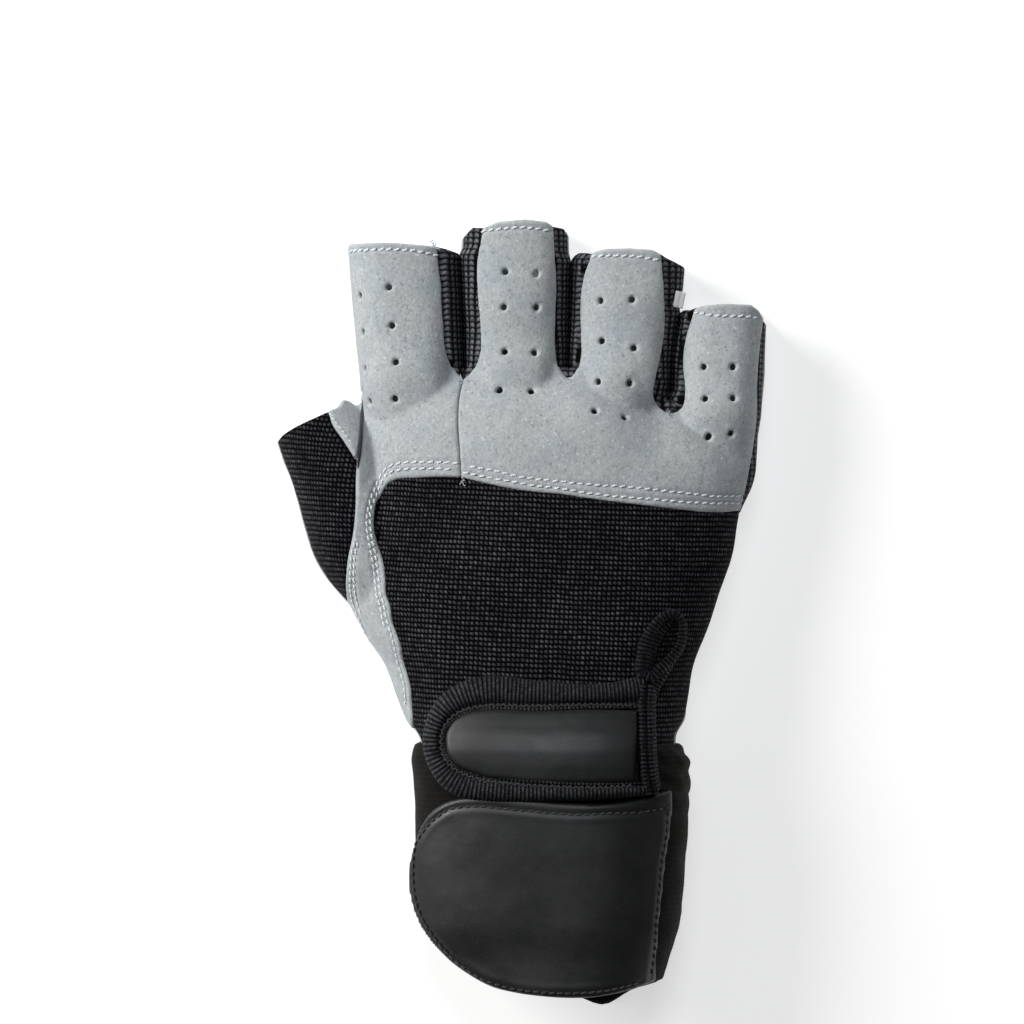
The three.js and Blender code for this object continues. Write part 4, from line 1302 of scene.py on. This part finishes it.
# Wrap round the wrist
wrap_outline = np.vstack([trace((300, 742), (780, 742), (780, 947)),
                          spline(trace((656, 981.5), (630, 988), (616, 996), (608, 1000), (573, 990.7),
                                       (512, 981.5), (468, 963), (430, 926)), 2.0),
                          trace((292, 895))])
WRAP_RING, WRAP_ROUND = 260, 190
wrap_ys = np.arange(-67.5, -0.4, 0.6) + SHIFT[1]
wrap_sheet = grid_sheet(body_rings(WRAP_OUT, wrap_ys, WRAP_RING), wrap=True)
middle = wrap_sheet.p.mean(axis=0)
wrap_sheet.data["n"] = faceted_normals(wrap_sheet.p, wrap_sheet.tri)
if ((wrap_sheet.p - middle) * wrap_sheet.data["n"]).sum() < 0:
    wrap_sheet.tri = wrap_sheet.tri[:, ::-1]
    wrap_sheet.data["n"] = -wrap_sheet.data["n"]
p = wrap_sheet.p
wrap_sheet.data["u"] = np.tile(np.arange(WRAP_RING) * (WRAP_ROUND / WRAP_RING), len(wrap_ys))
wrap_sheet.data["v"] = p[:, 1].copy()
pulled = p * np.array([0.35, 1.0, 0.5])
ripple = 0.3 * noise(pulled, 6.0, 71) + 0.12 * noise(pulled, 2.6, 72)
gather = step_between(p[:, 0], at(640, 0)[0], at(676, 0)[0]) * step_between(-p[:, 1], 31, 33) \
    * (1 - step_between(-p[:, 1], 42, 52))
ripple += gather * 0.28 * np.sin((p[:, 1] + 0.5 * p[:, 0] + 2.2 * noise(p, 6, 73)) * 2 * np.pi / 4.6)
below_top = np.clip((at(0, 742)[1] - p[:, 1]) / 5.0, 0, 1)
ripple -= 2.1 * (1 - below_top)**1.7
down = wrap_sheet.data["n"][:, 2] < -0.5
wrap_sheet.p = p + wrap_sheet.data["n"] * np.where(down, 0, ripple)[:, None]
wrap_sheet.data["n"] = faceted_normals(wrap_sheet.p, wrap_sheet.tri)
wrap_sheet = largest(clipped(wrap_sheet, within(wrap_sheet.p, wrap_outline)))
panel("wrist_wrap_band", "wrist_wrap", "wrap_black", "velvet", wrap_sheet, 2.2, rim=0.9, rim_drop=0.7)

# Flap over the wrap
flap_line = trace((672, 788), (655, 792.5), (639, 796), (610, 800), (572, 800), (534, 797), (500, 794),
                  (476, 793.5), (457, 796), (444, 801), (431, 810), (421, 824), (414, 842), (409.5, 858),
                  (407.5, 874), (409, 891), (414, 910), (421, 926), (433, 943), (448, 958), (467, 971),
                  (490, 982.5), (515, 988.5), (543.5, 992), (572, 993.5), (597, 992.5), (628, 987),
                  (656, 979))
flap_side = trace((657, 962), (659, 923), (663, 885), (666, 856), (670.5, 828), (672.6, 800))
flap_outline = np.vstack([spline(flap_line, 1.0), flap_side])
flap_stitch = [
    trace((440, 813), (448, 807.5), (467, 804), (486, 804), (507, 806), (540, 809), (572, 811.3),
          (608, 810.6), (637, 810), (658, 807), (666, 806)),
    trace((440, 813), (431, 820), (424, 829), (418, 838), (414.8, 850), (413.6, 866), (414.2, 885),
          (418, 904), (425.5, 921), (435, 935), (450, 952), (467, 966), (486, 976.5), (507, 983), (534, 987),
          (572, 988.5), (600, 987), (640, 979)),
    trace((667, 812), (666.5, 828), (662, 856), (659, 885), (655.5, 923), (652.5, 960), (650, 975)),
]
flap_stitch_lines = [spline(s, 0.9) for s in flap_stitch]
flap_sheet = plan_sheet(flap_outline, 0.55, lambda x, y: back_level(x, y, WRAP_OUT + GAP + 1.8, STAND_OFF))


def flap_relief(sheet, e):
    d = np.minimum.reduce([to_line(sheet.p, line) for line in flap_stitch_lines])
    h = -0.18 * np.exp(-(d / 0.5)**2) + 0.35 * noise(sheet.p, 22, 74) + 0.12 * noise(sheet.p, 9, 75)
    return h + 0.06 * np.exp(-((d - 1.3) / 0.7)**2)


_, hems["flap"] = panel("wrap_flap_cover", "wrap_flap", "rubber_black", "rubber", flap_sheet, 1.5, rim=1.0,
                        rim_drop=0.8, relief=flap_relief)

# Strap: tab, smooth patch on it, and the ribbed binding round both
patch_line = spline(trace((637, 708), (591, 707), (534, 708), (486, 707.5), (467, 711), (454, 719),
                          (447, 730), (445.5, 742), (448.5, 755), (457, 764.5), (476, 773), (515, 778.6),
                          (553, 780.5), (591, 781), (637, 779.6)), 0.9)
binding_line = spline(trace((646, 672.5), (630, 677), (618, 679.5), (601, 682.5), (572, 683.5), (534, 681.5),
                            (486, 678), (467, 680), (448, 689), (434, 702), (425.5, 721), (423, 742),
                            (428, 761), (437, 777), (452, 788), (476, 793), (515, 796), (553, 797),
                            (591, 797), (646, 794)), 0.9)


def strap_level(x, y, above_base):
    """The strap bridges the small steps of the waist beneath it."""
    total = 0
    for offset, weight in ((-7, 0.1), (-3.5, 0.22), (0, 0.36), (3.5, 0.22), (7, 0.1)):
        total = total + weight * back_level(x, y + offset, STRAP_BASE + above_base, STAND_OFF, STRAP_CLIMB)
    return total


def patch_dome(p):
    """The moulded patch is low along its edges."""
    across = (p[:, 1] - at(0, 712)[1]) / 9.0
    return 0.35 * (1 - across**2)


patch_sheet = plan_sheet(patch_line, 0.5, lambda x, y: strap_level(x, y, 3.3))
panel("strap_patch_cover", "strap_patch", "rubber_black", "patch", patch_sheet, 1.3, rim=1.2, rim_drop=0.7,
      relief=lambda s, e: 0.12 * noise(s.p, 15, 76) + patch_dome(s.p))
tab_sheet = plan_sheet(patch_line, 0.8, lambda x, y: strap_level(x, y, 1.6))
panel("strap_tab_sheet", "strap_tab", "rib_black", "elastic", tab_sheet, 1.5, rim=0.5, rim_drop=0.3)


def ribbed(centre, width, level, shape, rib, deep, count=26, closed=False, lean=0.0):
    """A ribbed tape or cord along a line: shape gives across and up for each place round it."""
    run = run_along(centre)
    tangent = np.gradient(centre, axis=0)
    if closed:
        tangent[0] = tangent[-1] = centre[1] - centre[-2]
    tangent = unit(tangent)
    side = np.stack([tangent[:, 1], -tangent[:, 0]], axis=1)
    w = np.arange(count) / count
    across, up = shape(w)
    turn = run[:, None] / rib + lean * w[None]
    wave = 1 + deep * np.cos(2 * np.pi * turn)
    bulge = np.clip(up[None], 0, None)
    x = centre[:, 0:1] + side[:, 0:1] * across[None] * width[:, None] * (1 + (wave - 1) * 0.5)
    y = centre[:, 1:2] + side[:, 1:2] * across[None] * width[:, None] * (1 + (wave - 1) * 0.5)
    z = level(x, y) + bulge * wave + np.minimum(up[None], 0)
    points = np.stack([x, y, z], axis=2)
    if closed:
        points = points[:-1]
        run = run[:-1]
    rows = len(points)
    faces = []
    for i in range(rows if closed else rows - 1):
        a, c = i * count, ((i + 1) % rows) * count
        for j in range(count):
            k = (j + 1) % count
            faces.append((a + j, a + k, c + k, c + j))
    if not closed:
        faces.append(tuple(reversed(range(count))))
        faces.append(tuple((rows - 1) * count + j for j in range(count)))
    uv = np.stack([np.repeat(run, count), np.tile(w * 8, rows)], axis=1)
    flat = points.reshape(-1, 3)
    tri = np.array([f[:3] for f in faces if len(f) == 4])
    if signed_volume(flat - flat.mean(axis=0), tri) < 0:
        faces = [tuple(reversed(f)) for f in faces]
    return flat, faces, uv.tolist()


# Binding: a low shoulder beside the patch, and a rolled edge outside it
inner = evened(np.vstack([at(645, 707.5), patch_line, at(645, 779.4)]), count=560)
outer = evened(binding_line, count=560)
middle_line = (inner + outer) / 2
half_width = np.linalg.norm(outer - inner, axis=1) / 2
order = np.sign(np.cross(np.gradient(middle_line, axis=0)[200], (outer - inner)[200]))


def binding_shape(w):
    """Round the section: over the top from the inner side to the outer one, and back beneath."""
    top = w < 0.72
    t = np.where(top, w / 0.72, (1 - w) / 0.28)
    across = (2 * t - 1)
    shoulder = 2.5 + 0.1 * np.sin(t * 20)
    roll = np.clip((t - 0.2) / 0.8, 0, 1)
    dome = 3.75 * np.sqrt(np.clip(1 - np.abs(2 * roll - 1)**2.2, 0, 1))
    blend = step_between(t, 0.12, 0.34)
    high = shoulder * (1 - blend) * step_between(t, -0.03, 0.02) + np.maximum(dome, 0) * blend
    return across * (-order), np.where(top, high, 0.0)


p, f, uv = ribbed(middle_line, half_width, lambda x, y: strap_level(x, y, 0), binding_shape, 0.95, 0.045,
                  count=40)
make_object("strap_binding_tape", p, f, "elastic", "rib_black", "strap_binding", uv)

zig = evened(patch_line, count=150)
zig_out = evened(binding_line, count=150)
zig_line = zig + (zig_out - zig) * (0.95 / np.linalg.norm(zig_out - zig, axis=1))[:, None]
patch_seam = zig_line[3:-3]

# Anchor: a band with two braided ribs
anchor_middle = evened(spline(trace((647, 683), (645.5, 700), (645.7, 725), (646.5, 750), (648.5, 773),
                                    (652, 792)),
                              0.4), count=190)
anchor_wide = 2.25 * np.sqrt(np.clip(np.minimum(np.arange(190) + 3, 192 - np.arange(190)) / 14, 0, 1))


def oval(high):
    return lambda w: (-np.cos(2 * np.pi * w), high * np.sin(2 * np.pi * w))


def raised_band(w):
    turn = 2 * np.pi * w
    return -np.cos(turn), np.where(w < 0.5, 3.5 * np.abs(np.sin(turn))**0.45, 0)


anchor = [ribbed(anchor_middle, anchor_wide, lambda x, y: strap_level(x, y, 0), raised_band, 1.0, 0.03)]
for offset in (-1.0, 0.85):
    anchor.append(ribbed(anchor_middle + np.array([offset, 0]), np.full(190, 0.7),
                         lambda x, y: strap_level(x, y, 3.25), oval(0.8), 1.05, 0.28, count=14, lean=1.0))
p, f, uv = joined(anchor)
make_object("strap_anchor_braid", p, f, "loop", "rib_black", "strap_anchor", uv)

# Pull loop: a folded tape, wider on its left limb, with its inner fold and its tail
loop_places = np.array([(642.5, 673), (642.6, 656), (645.2, 642), (652, 628), (662, 617), (672.5, 613.3),
                        (680.3, 620),
                        (682, 632), (679.5, 645), (670.5, 658), (659.5, 668), (649, 676)])
loop_wide = np.array([1.6, 1.75, 1.65, 1.35, 1.15, 1.1, 1.05, 1.1, 1.2, 1.3, 1.4, 1.5])


def along_line(pixels, wide, count, closed=False):
    both = np.column_stack([trace(*pixels), wide])
    line = spline(both, 0.2, closed=closed)
    if closed:
        line = np.vstack([line, line[:1]])
    line = evened(line, count=count)
    return line[:, :2], line[:, 2]


def loop_level(x, y, lift):
    return back_level(x, y, KNIT, 0.0, WRAP_WALL) + 2.4 + lift


inner_fold = [(648, 668), (650.5, 655), (655, 641.5), (662.5, 629.5), (671, 622)]
tail = [(676, 652), (668, 664.5), (660, 677), (654, 688), (650.5, 700)]
loop_parts = []
for pixels, widths, count, lift, high, deep, sides, closed in (
        (loop_places, loop_wide, 320, 0.0, 1.25, 0.075, 22, True),
        (inner_fold, [0.9, 1.0, 1.0, 0.9, 0.6], 110, -0.9, 0.8, 0.09, 14, False),
        (tail, [0.9, 1.15, 1.25, 1.2, 1.1], 110, -0.7, 1.0, 0.09, 16, False)):
    line, wide = along_line(pixels, widths, count, closed)
    loop_parts.append(ribbed(line, wide, lambda x, y: loop_level(x, y, lift), oval(high), 0.92, deep,
                             count=sides, closed=closed, lean=0.6))
p, f, uv = joined(loop_parts)
make_object("pull_loop_tape", p, f, "loop", "rib_black", "pull_loop", uv)

# Woven tag, folded in two, beside the ring finger's wall
bend = np.linspace(0, np.pi, 9)
fold = np.concatenate([[(-0.28, s) for s in np.linspace(-1.2, 0.85, 10)],
                       [(-0.28 * math.cos(b), 0.85 + 0.32 * math.sin(b)) for b in bend[1:-1]],
                       [(0.28, s) for s in np.linspace(0.85, -1.2, 10)]])
levels = np.linspace(-1.95, 1.95, 12)
spot, away = on_surface(skin_tree, *at(678, 299.5))
away = away + np.array([-0.25, 0.1, 1.0])
away /= np.linalg.norm(away)
length = np.array([math.sin(0.21), math.cos(0.21), 0.0])
length -= away * (length @ away)
length /= np.linalg.norm(length)
downhill = np.cross(length, away)
downhill *= -np.sign(downhill[2])
tag_points = np.array([[spot + away * (0.75 + a + 0.05 * math.sin(level)) + downhill * s + length * level
                        for a, s in fold] for level in levels])
tag_sheet = grid_sheet(tag_points)
tag_sheet.data["n"] = faceted_normals(tag_sheet.p, tag_sheet.tri)
tag_sheet.data["u"], tag_sheet.data["v"] = np.zeros(len(tag_sheet.p)), tag_sheet.p[:, 2].copy()
panel("seam_tag_fold", "seam_tag", "tag_white", "tag", tag_sheet, 0.16, rim=0.1, rim_drop=0.03)

# Dark threads
dark_rows = [(line, hems["flap"], 1.9, length, radius, 0.12)
             for line, length, radius in zip(flap_stitch, (1.35, 1.5, 1.35), (0.2, 0.24, 0.2))]
sew("flap_stitches", dark_rows, "dim_thread", "rib_black")
places = patch_seam
heights = strap_level(places[:, 0], places[:, 1], 2.55)
seam_places = np.column_stack([places, heights])
normals = np.tile([0.0, 0.0, 1.0], (len(places), 1))
even, odd = seam_places[::2], seam_places[1::2]
p, f, uv = joined([stitch_row(even, normals[::2], 1.2, 0.17, 0.75, 5),
                   stitch_row(odd, normals[1::2], 1.2, 0.17, -0.75, 6)])
make_object("patch_stitches", p, f, "dim_thread", "rib_black", uv=uv)


def tube(rings):
    """Faces over rings of points, with a flat one at each end."""
    sheet = grid_sheet(rings, wrap=True)
    n, count = len(sheet.p), rings.shape[1]
    hole_shade = [tuple(range(count)), tuple(n - count + j for j in reversed(range(count)))]
    return sheet.p, [tuple(t) for t in sheet.tri.tolist()] + hole_shade


# Dark cord along the fold between the index panel and the thumb's web; its dark blue colour is painted shade
# of the crease
def cord_on(line, tree, radius, lift, count=10):
    places, normals = laid(line, tree, 0.5, lift)
    tangent = unit(np.gradient(places, axis=0))
    side = np.cross(normals, tangent)
    angle = around(count)
    taper = np.sqrt(np.clip(np.minimum(np.arange(len(places)), np.arange(len(places))[::-1]) / 6, 0.05, 1))
    across = np.cos(angle)[None, :, None] * (radius * taper)[:, None, None]
    up = np.sin(angle)[None, :, None] * (radius * 0.7 * taper)[:, None, None]
    points = places[:, None] + side[:, None] * across + normals[:, None] * up
    p, faces = tube(points)
    return p, faces, p[:, 1::-1].tolist()


welt = cord_on(trace((362.5, 398), (362.2, 410), (362.2, 425), (361.2, 443), (359.4, 460),
                     (358, 470)), skin_tree, 0.42, -0.05)
make_object("thumb_web_fold_shade", *welt[:2], "welt", "rib_black", uv=welt[2])


# Loose thread ends
def tuft(px, py, seed, count, reach):
    rng = np.random.RandomState(seed)
    parts = []
    start, normal = on_surface(skin_tree, *at(px, py))
    for _ in range(count):
        heading = rng.uniform(0, 2 * np.pi)
        points = [start + normal * 0.1 + np.append(rng.uniform(-0.35, 0.35, 2), 0)]
        for _ in range(7):
            heading += rng.uniform(-0.9, 0.9)
            step = np.array([math.cos(heading), math.sin(heading), rng.uniform(-0.15, 0.25)]) * reach / 7
            points.append(points[-1] + step)
        line = spline(np.array(points), 0.15)
        tangent = unit(np.gradient(line, axis=0))
        side = unit(np.cross(tangent, [0.0, 0.1, 1.0]))
        up = np.cross(side, tangent)
        angle = around(6)
        ring = line[:, None] + side[:, None] * np.cos(angle)[None, :, None] * 0.11 \
            + up[:, None] * np.sin(angle)[None, :, None] * 0.11
        p, faces = tube(ring)
        parts.append((p, faces, [(0.0, 0.0)] * len(p)))
    return parts


loose = []
for spot in ((433, 246.5, 1, 3, 2.2), (438, 248, 2, 3, 2.4), (464, 381, 3, 3, 1.6), (568, 381, 4, 2, 1.2),
             (668, 416, 5, 2, 1.4), (463.5, 482, 6, 3, 1.5)):
    loose += tuft(*spot)
p, f, uv = joined(loose)
make_object("loose_threads", p, f, "white_thread", "tag_white", uv=uv)

# Floor and light

floor_mesh = bpy.data.meshes.new("floor")
floor_mesh.from_pydata([(-3, -3, 0), (3, -3, 0), (3, 3, 0), (-3, 3, 0)], [], [(0, 1, 2, 3)])
floor = bpy.data.objects.new("floor", floor_mesh)
bpy.context.collection.objects.link(floor)
floor.location.z = -0.0004
floor_look = bpy.data.materials.new("pale_floor")
floor_look.use_nodes = True
floor_shader = floor_look.node_tree.nodes["Principled BSDF"]
floor_shader.inputs["Base Color"].default_value = (0.6, 0.6, 0.6, 1)
floor_shader.inputs["Emission Color"].default_value = (1.0, 1.0, 1.0, 1)
floor_shader.inputs["Emission Strength"].default_value = 0.6
floor_shader.inputs["Roughness"].default_value = 0.9
floor_mesh.materials.append(floor_look)

world = bpy.data.worlds.new("studio")
bpy.context.scene.world = world
world.use_nodes = True
world.node_tree.nodes["Background"].inputs["Color"].default_value = (0.95, 0.97, 1.0, 1)
world.node_tree.nodes["Background"].inputs["Strength"].default_value = 0.06


def lamp(name, place, target, size, power, tint=(1, 1, 1)):
    data = bpy.data.lights.new(name, "AREA")
    data.shape = "DISK"
    data.size = size
    data.energy = power
    data.color = tint
    obj = bpy.data.objects.new(name, data)
    bpy.context.collection.objects.link(obj)
    obj.location = place
    obj.rotation_euler = (Vector(target) - Vector(place)).to_track_quat("-Z", "Y").to_euler()


lamp("key", (-1.05, 0.55, 0.78), (0, 0, 0), 0.8, 23.0, (1.0, 0.995, 0.98))
lamp("top", (0.05, 0.62, 1.45), (0, 0, 0), 0.6, 7.5, (0.95, 0.97, 1.0))
bpy.context.scene.view_settings.view_transform = "Standard"
